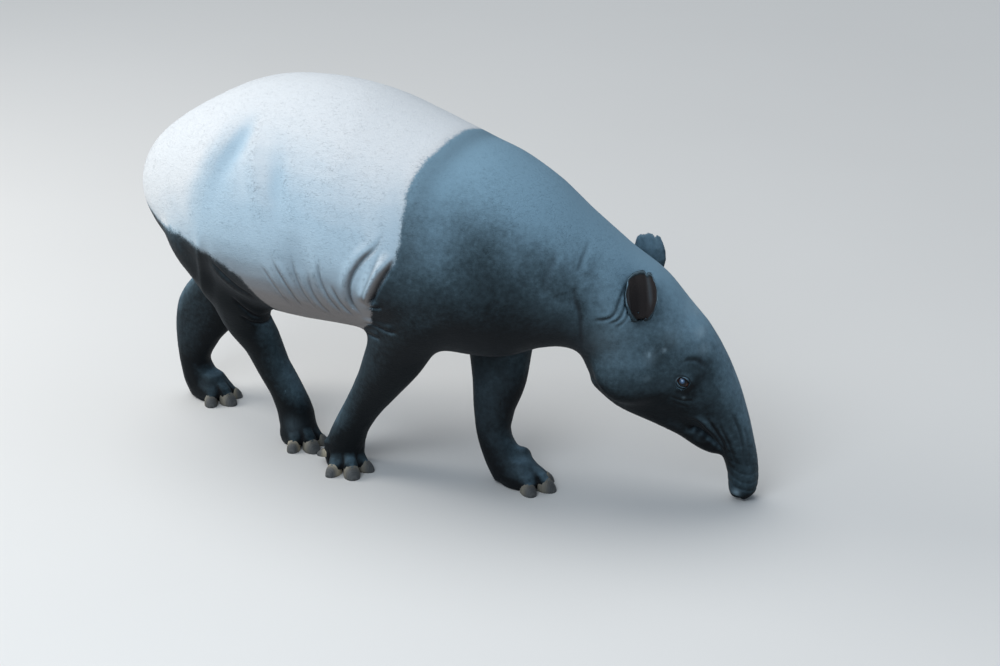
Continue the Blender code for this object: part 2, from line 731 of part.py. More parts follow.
def main():
    clear_scene()
    black = material("black_hide", BLACK, 0.75)
    white = material("white_hide", WHITE, 0.8)
    horn = material("hoof_horn", HORN, 0.6)
    dark_eye = material("eye", EYE_BROWN, 0.15)

    body = hide()
    hooves = []
    for leg in LEGS:
        toes = FORE_TOES if leg.startswith("fore") else HIND_TOES
        hooves += [hoof(leg, toe) for toe in toes]
    ears = [ear(name) for name in EARS]
    eyes = [eye(side) for side in (1, -1)]
    combine(body, [lids(side) for side in (1, -1)], "UNION")
    combine(body, [lid_opening(s) for s in (1, -1)] + [nostril(s) for s in (1, -1)], "DIFFERENCE")
    short_tail = tail()
    combine(body, [grown(o) for o in [*hooves, *ears, *eyes, short_tail]], "DIFFERENCE")

    nodes = {}
    seeds = {"trunk": (0.1, 0.0, 0.75)}
    for leg in LEGS:
        rows = mirrored(LEGS[leg], side_of(leg))
        seeds[leg] = rows[4][:3]
    nodes.update(part(body, [roof(leg) for leg in LEGS], seeds))

    # Each leg into its upper part, lower part and foot, across its own line
    names = {"hind": ("thigh", "shank", "hind_foot"), "fore": ("upper_arm", "forearm", "fore_foot")}
    for leg in LEGS:
        kind, side_name = leg.split("_")
        rows = np.array(mirrored(LEGS[leg], side_of(leg)))[:, :3]
        upper, lower, end = [f"{n}_{side_name}" for n in names[kind]]
        cuts = []
        for k, reach in ((4, 0.17), (7, 0.09)):
            cuts.append(disc(rows[k], rows[k + 1] - rows[k - 1], reach))
        places = {upper: 0.7 * rows[3] + 0.3 * rows[4], lower: (rows[5] + rows[6]) / 2, end: rows[8]}
        pieces = part(nodes.pop(leg), cuts, places)
        nodes.update(pieces)

    # The trunk into torso, shoulders, neck, head, lower jaw and snout
    line = np.linspace(0.30, 1.10, 9)[:, None]
    across = np.linspace(-0.40, 0.40, 5)[None, :]
    border = sheet(np.stack(np.broadcast_arrays(0.30 + 0.46 * (line - 0.52), across, line), -1))

    def section(top, bottom, half):
        points = [[on_body(t, h, s) for s in (-half, half)] for t, h in (top, bottom)]
        return sheet(np.array(points))

    neck_cut = section((0.66, 0.95), (0.60, 0.30), 0.30)
    head_cut = section((0.895, 0.72), (0.715, 0.36), 0.24)
    snout_cut = section((1.185, 0.315), (1.020, 0.155), 0.12)
    seeds = {
        "torso": (0.0, 0.0, 0.7), "shoulders": (0.45, 0.0, 0.65), "neck": on_body(0.75, 0.6),
        "head": on_body(0.95, 0.42),
    }
    nodes.update(part(nodes.pop("trunk"), [border, neck_cut, head_cut], seeds))
    seeds = {"head": on_body(0.93, 0.42), "lower_jaw": on_body(0.99, 0.205)}
    nodes.update(part(nodes.pop("head"), [mouth_sheet()], seeds))
    seeds = {"head": on_body(0.93, 0.42), "snout": on_body(1.15, 0.14)}
    nodes.update(part(nodes.pop("head"), [snout_cut], seeds))

    for name, obj in nodes.items():
        obj.name = name
        finish(obj, white if name == "torso" else black)
    finish(short_tail, white)
    for obj in hooves:
        finish(obj, horn)
    for obj in ears:
        finish(obj, black)
    for obj in eyes:
        finish(obj, dark_eye)
    centre_on_floor()


main()
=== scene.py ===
"""The finish of a life-size still model of a grown Malayan tapir, walking with its head down.

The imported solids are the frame. One skin stands for all the flesh. Over it lies a short coat of solid tufts,
and the ears, hooves and eyes are pieces of their own. Sizes are in metres on the frame's axes: +X is ahead,
+Y the animal's left and +Z up. A place on the body is (reach, side, height): reach runs along the body's
middle line, which bends with the neck, side is to the left of that line and height is above the ground.
"""
import math

import bmesh
import bpy
import numpy as np
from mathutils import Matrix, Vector


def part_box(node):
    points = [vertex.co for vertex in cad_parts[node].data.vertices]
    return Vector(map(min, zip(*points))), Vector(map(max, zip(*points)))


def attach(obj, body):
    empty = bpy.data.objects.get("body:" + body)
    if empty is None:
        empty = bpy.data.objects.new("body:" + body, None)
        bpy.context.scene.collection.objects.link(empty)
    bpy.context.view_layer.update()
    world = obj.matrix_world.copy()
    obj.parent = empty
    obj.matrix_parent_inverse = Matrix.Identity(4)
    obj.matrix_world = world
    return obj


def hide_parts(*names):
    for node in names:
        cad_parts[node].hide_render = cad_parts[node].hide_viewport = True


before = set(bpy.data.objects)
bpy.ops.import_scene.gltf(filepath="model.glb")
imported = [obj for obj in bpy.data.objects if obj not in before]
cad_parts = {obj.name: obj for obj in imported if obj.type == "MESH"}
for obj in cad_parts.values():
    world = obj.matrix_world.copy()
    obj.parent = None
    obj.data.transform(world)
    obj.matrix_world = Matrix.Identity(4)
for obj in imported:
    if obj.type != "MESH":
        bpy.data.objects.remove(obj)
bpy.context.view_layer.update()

# The body's middle line, as the solids have it
HEAD_TURN = math.radians(27)
TURN_START = 0.46
TURN_END = 0.74
EYE_REACH = 0.985
EYE_HEIGHT = 0.352
EYE_SPREAD = 0.083
EAR_HEIGHT = 0.122
# Each ear: reach and height of its root, distance from the middle plane, and its turn forwards
EARS = {
    "ear_left": (0.898, 0.541, 0.112, math.radians(15)),
    "ear_right": (0.881, 0.521, 0.122, math.radians(20)),
}

STUB_RADII = (0.020, 0.026, 0.024)   # of the swelling of the head under each ear
STUB_INWARDS = 0.036
STUB_BELOW = 0.014

# Skin
SKIN_CELL = 0.0036           # cell of the remesh that closes the gaps between the solids
GAP_CLOSE = 0.0005           # each solid is grown by this first
SKIN_TRIANGLES = 190000
FACE_TRIANGLES = 70000       # of those, kept for the eyes, mouth and snout
COAT_DEPTH = 0.0022          # the skin lies this far inside the solids
FACE_COAT_DEPTH = 0.0010
SMOOTHING_ROUNDS = 60
FINEST_ROUND_EYES = 0.045    # the skin is split once more within this of an eye's middle
LIDS_KEPT = 0.028            # and isn't thinned within this
SOLE_HEIGHT = 0.0012         # the skin's lowest place over the ground

# Coat
TUFTS_A_PIECE = 19500        # ten triangles each, so a piece stays under 200,000
PATCH = 0.003                # size of a tuft on the coat's own map
TUFT_LIFT = (0.002, 0.007, 0.009)   # over the skin in tuft lengths: least, by the ripples and by chance

RIGHT, LEFT, BOTH = -1, 1, 0


def heading(reach):
    """The way the middle line points, in radians from +X: a smooth step between the two ends of the bend."""
    share = np.clip((np.asarray(reach, float) - TURN_START) / (TURN_END - TURN_START), 0, 1)
    return HEAD_TURN * share * share * (3 - 2 * share)


LINE_START = -0.7
LINE_STEP = 0.002
LINE = np.arange(LINE_START, 1.5, LINE_STEP)
LINE_X = LINE_START + LINE_STEP * (np.cumsum(np.cos(heading(LINE))) - math.cos(0))
LINE_Y = LINE_STEP * np.cumsum(np.sin(heading(LINE)))
ORIGIN = np.zeros(3)


def to_frame(reach, side, height):
    """The frame's point for a place on the body: along the middle line, then square to it."""
    reach, side, height = np.broadcast_arrays(*(np.asarray(v, float) for v in (reach, side, height)))
    turn = heading(reach)
    x = np.interp(reach, LINE, LINE_X) - side * np.sin(turn)
    y = np.interp(reach, LINE, LINE_Y) + side * np.cos(turn)
    return np.stack([x, y, height], -1) + ORIGIN


def to_body(points):
    """Places on the body of the frame's points. The reach is mended six times by what is left over."""
    x, y, z = (points - ORIGIN).T
    reach = x.copy()
    for _ in range(6):
        turn = heading(reach)
        off_x = x - np.interp(reach, LINE, LINE_X)
        off_y = y - np.interp(reach, LINE, LINE_Y)
        reach = reach + off_x * np.cos(turn) + off_y * np.sin(turn)
    turn = heading(reach)
    off_x = x - np.interp(reach, LINE, LINE_X)
    off_y = y - np.interp(reach, LINE, LINE_Y)
    return np.stack([reach, off_y * np.cos(turn) - off_x * np.sin(turn), z], -1)


def box_centre(node):
    low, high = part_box(node)
    return np.array((low + high) / 2)


# The eye's solid says where the body's zero stands in the frame
ORIGIN = box_centre("eye_left") - to_frame(EYE_REACH, EYE_SPREAD, EYE_HEIGHT)


def smooth_step(value, low, high):
    """0 below low, 1 above high and a smooth rise between."""
    share = np.clip((value - low) / (high - low), 0, 1)
    return share * share * (3 - 2 * share)


def bell(value, width):
    """1 at zero, falling off as a bell curve of this width."""
    return np.exp(-((value / width) ** 2))


def unit(vectors):
    return vectors / np.maximum(np.linalg.norm(vectors, axis=-1, keepdims=True), 1e-12)


def curve(keys, count):
    """count points of a smooth curve through the keys, spaced by the length between them."""
    keys = np.asarray(keys, float)
    steps = np.linalg.norm(np.diff(keys, axis=0), axis=1)
    knots = np.concatenate([[0], np.cumsum(steps)])
    slopes = np.gradient(keys, knots, axis=0)
    at = np.linspace(0, knots[-1], count)
    k = np.clip(np.searchsorted(knots, at, side="right") - 1, 0, len(knots) - 2)
    span = (knots[k + 1] - knots[k])[:, None]
    t = (at - knots[k])[:, None] / span
    start = (2 * t**3 - 3 * t**2 + 1) * keys[k] + (t**3 - 2 * t**2 + t) * span * slopes[k]
    end = (3 * t**2 - 2 * t**3) * keys[k + 1] + (t**3 - t**2) * span * slopes[k + 1]
    return start + end


def make_mesh(name, points, *face_sets):
    """A smooth-shaded mesh from an array of points and arrays of faces, each array with one corner count."""
    mesh = bpy.data.meshes.new(name)
    mesh.vertices.add(len(points))
    mesh.vertices.foreach_set("co", np.ascontiguousarray(points, np.float32).ravel())
    corners = np.concatenate([faces.ravel() for faces in face_sets])
    sizes = np.concatenate([np.full(len(faces), faces.shape[1]) for faces in face_sets])
    mesh.loops.add(len(corners))
    mesh.loops.foreach_set("vertex_index", corners.astype(np.int32))
    mesh.polygons.add(len(sizes))
    mesh.polygons.foreach_set("loop_start", (np.cumsum(sizes) - sizes).astype(np.int32))
    mesh.update(calc_edges=True)
    mesh.validate()
    mesh.shade_smooth()
    return mesh


def make_piece(name, points, *face_sets):
    piece = bpy.data.objects.new(name, make_mesh(name, points, *face_sets))
    bpy.context.scene.collection.objects.link(piece)
    return piece


def read_rows(items, key, width, kind=np.float32):
    """What each item of a mesh holds under this key, as rows of an array."""
    values = np.empty(len(items) * width, kind)
    items.foreach_get(key, values)
    return values.reshape(-1, width)


def read_points(mesh):
    return read_rows(mesh.vertices, "co", 3).astype(float)


def write_points(mesh, points):
    mesh.vertices.foreach_set("co", points.astype(np.float32).ravel())
    mesh.update()


def read_normals(mesh):
    return read_rows(mesh.vertex_normals, "vector", 3).astype(float)


def read_edges(mesh):
    return read_rows(mesh.edges, "vertices", 2, np.int32)


def read_triangles(mesh):
    mesh.calc_loop_triangles()
    return read_rows(mesh.loop_triangles, "vertices", 3, np.int32)


def set_values(mesh, name, values):
    """A number, or a vector, kept at each point of the mesh for its material."""
    kind, key = ("FLOAT", "value") if values.ndim == 1 else ("FLOAT_VECTOR", "vector")
    layer = mesh.attributes.new(name, kind, "POINT")
    layer.data.foreach_set(key, np.ascontiguousarray(values, np.float32).ravel())


def turn_outwards(mesh, seams=False):
    """Turns the faces of a mesh outwards, after closing its seams and poles where it has some."""
    bm = bmesh.new()
    bm.from_mesh(mesh)
    if seams:
        bmesh.ops.remove_doubles(bm, verts=bm.verts, dist=1e-6)
    bmesh.ops.recalc_face_normals(bm, faces=bm.faces)
    bm.to_mesh(mesh)
    bm.free()
    if seams:
        mesh.shade_smooth()


def apply_modifiers(piece):
    graph = bpy.context.evaluated_depsgraph_get()
    mesh = bpy.data.meshes.new_from_object(piece.evaluated_get(graph))
    piece.modifiers.clear()
    piece.data = mesh
    mesh.name = piece.name


def relax(points, edges, strength, rounds):
    """Moves each point by its own strength towards the mean of its neighbours, again and again."""
    first, second = edges.T
    count = len(points)
    neighbours = np.maximum(np.bincount(edges.ravel(), minlength=count), 1)[:, None]
    strength = strength[:, None]
    for _ in range(rounds):
        total = np.stack([
            np.bincount(first, points[second, k], count) + np.bincount(second, points[first, k], count)
            for k in range(3)
        ], 1)
        points = points + strength * (total / neighbours - points)
    return points


def grid_faces(rows, columns, wrap=False):
    """Four-cornered faces of a grid of points, with its last column joined to its first if it wraps."""
    row = np.arange(rows - 1)[:, None]
    column = np.arange(columns if wrap else columns - 1)[None, :]
    beside = (column + 1) % columns
    corners = [row * columns + column, row * columns + beside, (row + 1) * columns + beside,
               (row + 1) * columns + column]
    return np.stack(np.broadcast_arrays(*corners), -1).reshape(-1, 4)


def ball(centre, radii, axes, rows=14, columns=24):
    """An ellipsoid: sine and cosine of two angles, times the radii, along the three axes."""
    polar = np.linspace(0, math.pi, rows)[:, None]
    around = np.linspace(0, 2 * math.pi, columns, endpoint=False)[None, :]
    shape = np.stack(np.broadcast_arrays(
        np.cos(polar), np.sin(polar) * np.cos(around), np.sin(polar) * np.sin(around)), -1)
    points = np.asarray(centre) + (shape * np.asarray(radii)).reshape(-1, 3) @ np.asarray(axes)
    return points, grid_faces(rows, columns, wrap=True)


def side_of(name):
    return LEFT if name.endswith("_left") else RIGHT


def head_axes(side, forward):
    """Outward, forward and up at one side of the head, turned forwards by this angle."""
    ahead = np.array([math.cos(HEAD_TURN), math.sin(HEAD_TURN), 0.0])
    left = np.array([-math.sin(HEAD_TURN), math.cos(HEAD_TURN), 0.0]) * side
    up = np.array([0.0, 0.0, 1.0])
    out = math.cos(forward) * left + math.sin(forward) * ahead
    across = math.cos(forward) * ahead - math.sin(forward) * left
    return out, across, up


# Forms of the hide in side view. Each row: (reach, height) of the middle, half length, half width, turn of
# the length from upright towards the head, and how far it stands out
SWELLINGS = [
    ((-0.106, 0.852), 0.075, 0.030, 28, -0.0100),
    ((-0.130, 0.770), 0.080, 0.040, 20, -0.0040),
    ((0.052, 0.790), 0.070, 0.026, -15, -0.0060),
    ((-0.026, 0.815), 0.110, 0.024, -18, 0.0050),
    ((-0.210, 0.820), 0.110, 0.060, 35, 0.0050),
    ((0.110, 0.640), 0.120, 0.040, 5, -0.0025),
    ((0.200, 0.760), 0.160, 0.050, 0, 0.0030),
    ((0.455, 0.700), 0.150, 0.040, -14, 0.0040),
    ((0.395, 0.740), 0.130, 0.030, -12, -0.0030),
    ((0.560, 0.660), 0.150, 0.045, -16, -0.0050),
    ((0.620, 0.760), 0.110, 0.040, -35, 0.0045),
    ((0.700, 0.600), 0.100, 0.040, -30, -0.0040),
    ((-0.243, 0.500), 0.090, 0.012, 16, 0.0050),
    ((-0.215, 0.480), 0.090, 0.016, 16, -0.0040),
    ((0.945, 0.430), 0.045, 0.022, 30, -0.0030),
    ((1.020, 0.330), 0.060, 0.022, 30, -0.0035),
    ((0.930, 0.325), 0.050, 0.020, 60, 0.0030),
    ((1.024, 0.199), 0.026, 0.0105, -59, -0.0120),
    ((1.048, 0.216), 0.034, 0.0100, -38, 0.0060),
]

# Creases of the hide in side view: line of (reach, height) keys, half width and depth of the groove, height
# of the ridge beside it and how far off it lies, and the sides of the body that have it
CREASES = [
    ([(0.362, 0.735), (0.340, 0.690), (0.306, 0.652), (0.278, 0.610), (0.262, 0.566), (0.260, 0.521),
      (0.280, 0.485)], 0.0055, 0.0052, 0.0035, -0.016, BOTH),
    ([(0.358, 0.692), (0.346, 0.657), (0.326, 0.608), (0.303, 0.560), (0.292, 0.525)],
     0.0045, 0.0030, 0.0015, -0.012, BOTH),
    ([(0.398, 0.680), (0.372, 0.635), (0.348, 0.596), (0.326, 0.556), (0.309, 0.520)],
     0.0060, 0.0150, 0.0130, -0.018, BOTH),
    ([(0.303, 0.523), (0.322, 0.522), (0.345, 0.530)], 0.0040, 0.0065, 0.0030, 0.012, BOTH),
    ([(0.250, 0.455), (0.300, 0.460), (0.345, 0.456), (0.372, 0.462)], 0.0045, 0.0060, 0.0040, 0.013, RIGHT),
    ([(0.235, 0.415), (0.280, 0.424), (0.310, 0.426)], 0.0040, 0.0040, 0.0030, 0.011, RIGHT),
    ([(0.040, 0.615), (0.056, 0.571), (0.075, 0.520), (0.090, 0.462)], 0.0045, 0.0030, 0.0022, 0.014, BOTH),
    ([(0.000, 0.590), (0.022, 0.545), (0.040, 0.500), (0.052, 0.455)], 0.0045, 0.0020, 0.0015, 0.014, BOTH),
    ([(0.100, 0.640), (0.106, 0.580), (0.118, 0.520), (0.138, 0.460)], 0.0045, 0.0022, 0.0016, 0.014, BOTH),
    ([(0.190, 0.650), (0.182, 0.600), (0.190, 0.540), (0.215, 0.470)], 0.0045, 0.0028, 0.0020, -0.014, BOTH),
    ([(0.150, 0.600), (0.146, 0.545), (0.158, 0.492), (0.176, 0.455)], 0.0045, 0.0025, 0.0018, -0.014, BOTH),
    ([(0.212, 0.575), (0.222, 0.525), (0.244, 0.475)], 0.0045, 0.0030, 0.0022, -0.012, BOTH),
    ([(-0.190, 0.560), (-0.150, 0.520), (-0.105, 0.480), (-0.060, 0.455)],
     0.0060, 0.0035, 0.0030, -0.018, BOTH),
    ([(-0.170, 0.440), (-0.148, 0.405), (-0.132, 0.378), (-0.126, 0.356)],
     0.0045, 0.0060, 0.0040, 0.012, RIGHT),
    ([(-0.160, 0.380), (-0.140, 0.352), (-0.122, 0.336)], 0.0040, 0.0045, 0.0030, 0.012, RIGHT),
    ([(0.728, 0.640), (0.724, 0.590), (0.736, 0.530), (0.738, 0.470), (0.742, 0.420)],
     0.0065, 0.0042, 0.0030, 0.018, BOTH),
    ([(0.757, 0.720), (0.742, 0.680), (0.728, 0.640)], 0.0060, 0.0022, 0.0018, 0.020, BOTH),
    ([(0.690, 0.720), (0.672, 0.649), (0.666, 0.585)], 0.0080, 0.0022, 0.0018, 0.022, BOTH),
    ([(0.846, 0.618), (0.832, 0.572), (0.812, 0.530), (0.765, 0.520)], 0.0045, 0.0026, 0.0016, -0.011, BOTH),
    ([(0.856, 0.600), (0.846, 0.560), (0.830, 0.525), (0.800, 0.510)], 0.0036, 0.0020, 0.0012, -0.009, BOTH),
    ([(0.862, 0.575), (0.856, 0.545), (0.840, 0.515), (0.818, 0.500)], 0.0034, 0.0014, 0.0009, -0.009, BOTH),
    ([(0.978, 0.400), (0.998, 0.409), (1.022, 0.404), (1.046, 0.378)], 0.0065, 0.0016, 0.0006, 0.014, BOTH),
    ([(0.950, 0.322), (0.970, 0.306), (0.995, 0.298), (1.018, 0.298)], 0.0036, 0.0009, 0.0005, 0.008, BOTH),
    ([(0.962, 0.300), (0.980, 0.286), (1.004, 0.278)], 0.0032, 0.0005, 0.0004, 0.007, BOTH),
    ([(1.096, 0.128), (1.090, 0.142), (1.075, 0.162), (1.055, 0.180), (1.031, 0.200), (1.002, 0.208)],
     0.0042, 0.0105, 0.0020, 0.010, BOTH),
    ([(0.985, 0.236), (1.008, 0.236), (1.032, 0.228), (1.052, 0.200), (1.072, 0.165), (1.092, 0.128)],
     0.0040, 0.0035, 0.0030, 0.011, BOTH),
    ([(1.046, 0.250), (1.066, 0.215), (1.088, 0.175), (1.106, 0.128)], 0.0038, 0.0028, 0.0022, 0.010, BOTH),
    ([(1.072, 0.240), (1.093, 0.195), (1.112, 0.150), (1.122, 0.105)], 0.0036, 0.0022, 0.0018, 0.009, BOTH),
    ([(1.102, 0.270), (1.124, 0.220), (1.140, 0.160), (1.146, 0.100)], 0.0036, 0.0020, 0.0016, 0.009, BOTH),
    ([(1.128, 0.250), (1.146, 0.195), (1.158, 0.140), (1.162, 0.085)], 0.0034, 0.0015, 0.0012, 0.008, BOTH),
]
# Rings across the proboscis: height at reach 1.13, and depth
SNOUT_RINGS = [(0.160, 0.0003), (0.136, 0.0004), (0.112, 0.0004), (0.090, 0.0006), (0.068, 0.0005),
               (0.047, 0.0007)]


def beside_line(places, keys, reach_out):
    """How far places are, in side view, from a smooth line through the keys, positive to the left of its way,
    and the share of the line's length that is passed there. Places far from the line are left at 1 m."""
    line = curve(keys, 36)
    flat = places[:, [0, 2]]
    near = np.flatnonzero(np.all((flat > line.min(0) - reach_out) & (flat < line.max(0) + reach_out), axis=1))
    start = line[:-1]
    step = np.diff(line, axis=0)
    to_place = flat[near][:, None] - start
    share = np.clip((to_place * step).sum(-1) / (step * step).sum(-1), 0, 1)
    off = to_place - share[..., None] * step
    nearest = np.argmin((off * off).sum(-1), axis=1)
    rows = np.arange(len(near))
    chosen = off[rows, nearest]
    turn = np.sign(step[nearest, 0] * chosen[:, 1] - step[nearest, 1] * chosen[:, 0])
    distance = np.full(len(places), 1.0)
    passed = np.zeros(len(places))
    distance[near] = turn * np.linalg.norm(chosen, axis=1)
    passed[near] = (nearest + share[rows, nearest]) / len(start)
    return distance, passed


def on_side(places, side):
    """1 on the wanted side of the body, fading out within 15 mm of its middle plane."""
    if side == BOTH:
        return smooth_step(np.abs(places[:, 1]), 0.002, 0.015)
    return smooth_step(places[:, 1] * side, 0.002, 0.015)


def crease_field(places):
    """How far creases and their ridges move the hide outwards, and how deep in the creases each place is, for
    the painted shade in them.
    """
    move = np.zeros(len(places))
    shade = np.zeros(len(places))
    for keys, width, depth, ridge, offset, side in CREASES:
        gap, passed = beside_line(places, keys, abs(offset) * 2.5 + width * 2)
        fade = on_side(places, side) * smooth_step(passed, 0.0, 0.35) * (1 - smooth_step(passed, 0.80, 1.0))
        groove = bell(gap, width) * fade
        move += ridge * bell(gap - offset, 0.75 * abs(offset)) * fade - depth * groove
        shade = np.maximum(shade, groove * min(1.0, depth / 0.006))
    return move, shade


def swelling_field(places):
    """The soft hollows and muscles: bells with two widths, turned in side view, on both sides of the body."""
    move = np.zeros(len(places))
    for (reach, height), half_length, half_width, turn, stand in SWELLINGS:
        turn = math.radians(turn)
        along = (places[:, 0] - reach) * math.sin(turn) + (places[:, 2] - height) * math.cos(turn)
        across = (places[:, 0] - reach) * math.cos(turn) - (places[:, 2] - height) * math.sin(turn)
        move += stand * bell(along, half_length) * bell(across, half_width)
    return move * smooth_step(np.abs(places[:, 1]), 0.01, 0.07)


def snout_field(places):
    """Shallow wrinkles that ring the proboscis, waved from side to side."""
    wave = 0.004 * np.sin(places[:, 1] * 160 + places[:, 2] * 30)
    inside = smooth_step(places[:, 0], 1.045, 1.085)
    move = np.zeros(len(places))
    for height, depth in SNOUT_RINGS:
        slope = places[:, 2] + wave - height + 0.25 * (places[:, 0] - 1.13)
        move -= depth * bell(slope, 0.0042)
    return move * inside


FEET = {
    "fore_left": "fore_foot_left", "fore_right": "fore_foot_right",
    "hind_left": "hind_foot_left", "hind_right": "hind_foot_right",
}
HOOVES = sorted(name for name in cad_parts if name.startswith("hoof_"))
EYES = ["eye_left", "eye_right"]
FLESH = sorted(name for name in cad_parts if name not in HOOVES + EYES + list(EARS))
UPPER_LEGS = {"fore": "upper_arm", "hind": "thigh"}
LOWER_LEGS = {"fore": "forearm", "hind": "shank"}


def leg_line(leg):
    """Middle points of a leg's upper part, lower part and foot, from the foot up, as the solids have them."""
    kind, side = leg.split("_")
    names = [FEET[leg], f"{LOWER_LEGS[kind]}_{side}", f"{UPPER_LEGS[kind]}_{side}"]
    return np.array([box_centre(name) for name in names])


LEG_LINES = {leg: leg_line(leg) for leg in FEET}


def toe_ways(leg):
    """The foot's middle on the ground, and the way each of its hooves points from there, in order."""
    middle = box_centre(FEET[leg])[:2]
    ways = [math.atan2(*(box_centre(name)[:2] - middle)[::-1]) for name in HOOVES if f"hoof_{leg}_" in name]
    return middle, sorted(ways)


def toe_field(points):
    """The clefts between the toes: a groove half way between each pair of neighbouring hooves."""
    move = np.zeros(len(points))
    shade = np.zeros(len(points))
    for leg in FEET:
        middle, ways = toe_ways(leg)
        off = points[:, :2] - middle
        for first, second in zip(ways[:-1], ways[1:]):
            way = (first + second) / 2
            along = off[:, 0] * math.cos(way) + off[:, 1] * math.sin(way)
            across = off[:, 1] * math.cos(way) - off[:, 0] * math.sin(way)
            fade = smooth_step(along, 0.020, 0.045) * (1 - smooth_step(points[:, 2], 0.030, 0.062))
            fade = fade * (1 - smooth_step(along, 0.10, 0.12))
            groove = bell(across, 0.0045) * fade
            move -= 0.0075 * groove
            shade = np.maximum(shade, groove)
    return move, shade


def eye_frame(side):
    """Centre of an eyeball, and the axes of its lids: outward, along the slanted slit, and across it."""
    centre = box_centre("eye_left" if side == LEFT else "eye_right")
    out, forward, up = head_axes(side, math.radians(6))
    slant = math.radians(-38)
    along = math.cos(slant) * forward + math.sin(slant) * up
    return centre, out, along, -math.sin(slant) * forward + math.cos(slant) * up


def about_eye(points, side):
    """How far points are along the lids' slit, across it, and out from the eyeball's centre."""
    centre, out, along, across = eye_frame(side)
    off = points - centre
    return off @ along, off @ across, off @ out


EYE_RADIUS = float((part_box("eye_left")[1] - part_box("eye_left")[0]).z) / 2
SLIT_HALF_LENGTH = 0.0160
SLIT_HALF_HEIGHT = 0.0115
LID_STAND = 0.0016           # the lids' rims over the eyeball


def shape_lids(points):
    """Lids on both sides of the head. Round each eye the hide is a height over the plane of the lids: inside
    the almond slit it dives behind the eyeball, at the slit it stands over the ball as a rim, and further out
    it falls off to the hide as it was, with a fold. The second value is how deep in a fold each point is."""
    points = points.copy()
    folds = np.zeros(len(points))
    for side in (LEFT, RIGHT):
        length, height, stand = about_eye(points, side)
        near = np.flatnonzero((np.hypot(length, height) < 0.042) & (stand > -0.01))
        a, b, h = length[near], height[near], stand[near]
        half_height = SLIT_HALF_HEIGHT * np.where(b > 0, 1.0, 0.85)
        ring = np.sqrt((a / SLIT_HALF_LENGTH) ** 2 + (b / half_height) ** 2)
        flat = np.hypot(a, b)
        over_ball = np.sqrt(np.maximum((EYE_RADIUS + LID_STAND) ** 2 - flat**2, 0))
        mound = over_ball + 0.0014 * bell(ring - 1.20, 0.15)
        mound -= 0.0018 * bell(ring - 1.58, 0.11) * (0.35 + 0.65 * smooth_step(b, -0.004, 0.006))
        blend = 1 - smooth_step(ring, 1.25, 2.5)
        shaped = np.where(flat < 0.95 * EYE_RADIUS, mound, h) * blend + h * (1 - blend)
        dive = 1 - smooth_step(ring, 0.93, 1.06)
        shaped = shaped * (1 - dive) + (over_ball - 0.0065) * dive
        points[near] += (shaped - h)[:, None] * eye_frame(side)[1]
        folds[near] = np.maximum(folds[near], bell(ring - 1.55, 0.14) * 0.6 * smooth_step(b, -0.006, 0.006))
    return points, folds


NOSTRIL = (1.136, 0.020, 0.016)


def nostril_field(places):
    """Two slit nostrils at the snout's end: deep narrow bells, with a low rim round each."""
    reach, side, height = NOSTRIL
    along = places[:, 0] - reach
    across = np.abs(places[:, 1]) - side
    up = places[:, 2] - height
    ring = np.sqrt((along / 0.011) ** 2 + (across / 0.007) ** 2 + (up / 0.009) ** 2)
    return -0.010 * bell(ring, 1.0) + 0.002 * bell(ring - 1.7, 0.5), bell(ring, 1.3)


def joined_solids():
    """The flesh, hooves, eyeballs and a stub at each ear as one mesh of closed surfaces. All but the stubs
    are grown a little."""
    bm = bmesh.new()
    for name in FLESH + HOOVES + EYES:
        bm.from_mesh(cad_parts[name].data)
    bmesh.ops.remove_doubles(bm, verts=bm.verts, dist=1e-5)
    mesh = bpy.data.meshes.new("joined")
    bm.to_mesh(mesh)
    bm.free()
    points = read_points(mesh) + GAP_CLOSE * read_normals(mesh)
    face_sets = [read_triangles(mesh)]
    for name, (reach, height, spread, turn) in EARS.items():
        side = side_of(name)
        centre = to_frame(reach, side * (spread - STUB_INWARDS), height - STUB_BELOW)
        stub, faces = ball(centre, STUB_RADII, head_axes(side, turn))
        face_sets.append(faces[:, [0, 1, 2]] + len(points))
        face_sets.append(faces[:, [0, 2, 3]] + len(points))
        points = np.concatenate([points, stub])
    return make_piece("skin", points, *face_sets)


def hide_softness(places):
    """How strongly each place is smoothed: most on the barrel and throat, less on the legs and head, least on
    the feet and snout."""
    reach, _, height = places.T
    trunk = smooth_step(height, 0.33, 0.50) * (1 - smooth_step(reach, 0.66, 0.86))
    head = smooth_step(reach, 0.66, 0.86)
    soft = 0.10 + 0.40 * trunk
    soft = soft + head * (0.16 - soft)
    soft = soft + smooth_step(reach, 1.02, 1.08) * head * (0.08 - soft)
    throat = smooth_step(reach, 0.70, 0.76) * (1 - smooth_step(reach, 0.98, 1.02))
    throat = throat * (1 - smooth_step(height, 0.28, 0.46))
    soft = soft + throat * (0.42 - soft)
    low = 1 - smooth_step(height, 0.05, 0.10)
    return np.where((low > 0) & (reach < 0.9), soft * (1 - low) + 0.04 * low, soft)


def refine(mesh, wanted):
    """Splits every edge between two wanted points in half."""
    bm = bmesh.new()
    bm.from_mesh(mesh)
    bm.verts.ensure_lookup_table()
    edges = read_edges(mesh)
    picked = np.flatnonzero(wanted[edges[:, 0]] & wanted[edges[:, 1]])
    bm.edges.ensure_lookup_table()
    bmesh.ops.subdivide_edges(bm, edges=[bm.edges[i] for i in picked], cuts=1, use_grid_fill=True)
    bm.to_mesh(mesh)
    bm.free()


def fine_face(points):
    """Which points are on the fine part of the face: from before the eyes to the snout's end."""
    places = to_body(points)
    return (places[:, 0] > 0.915) & (places[:, 2] < 0.46)


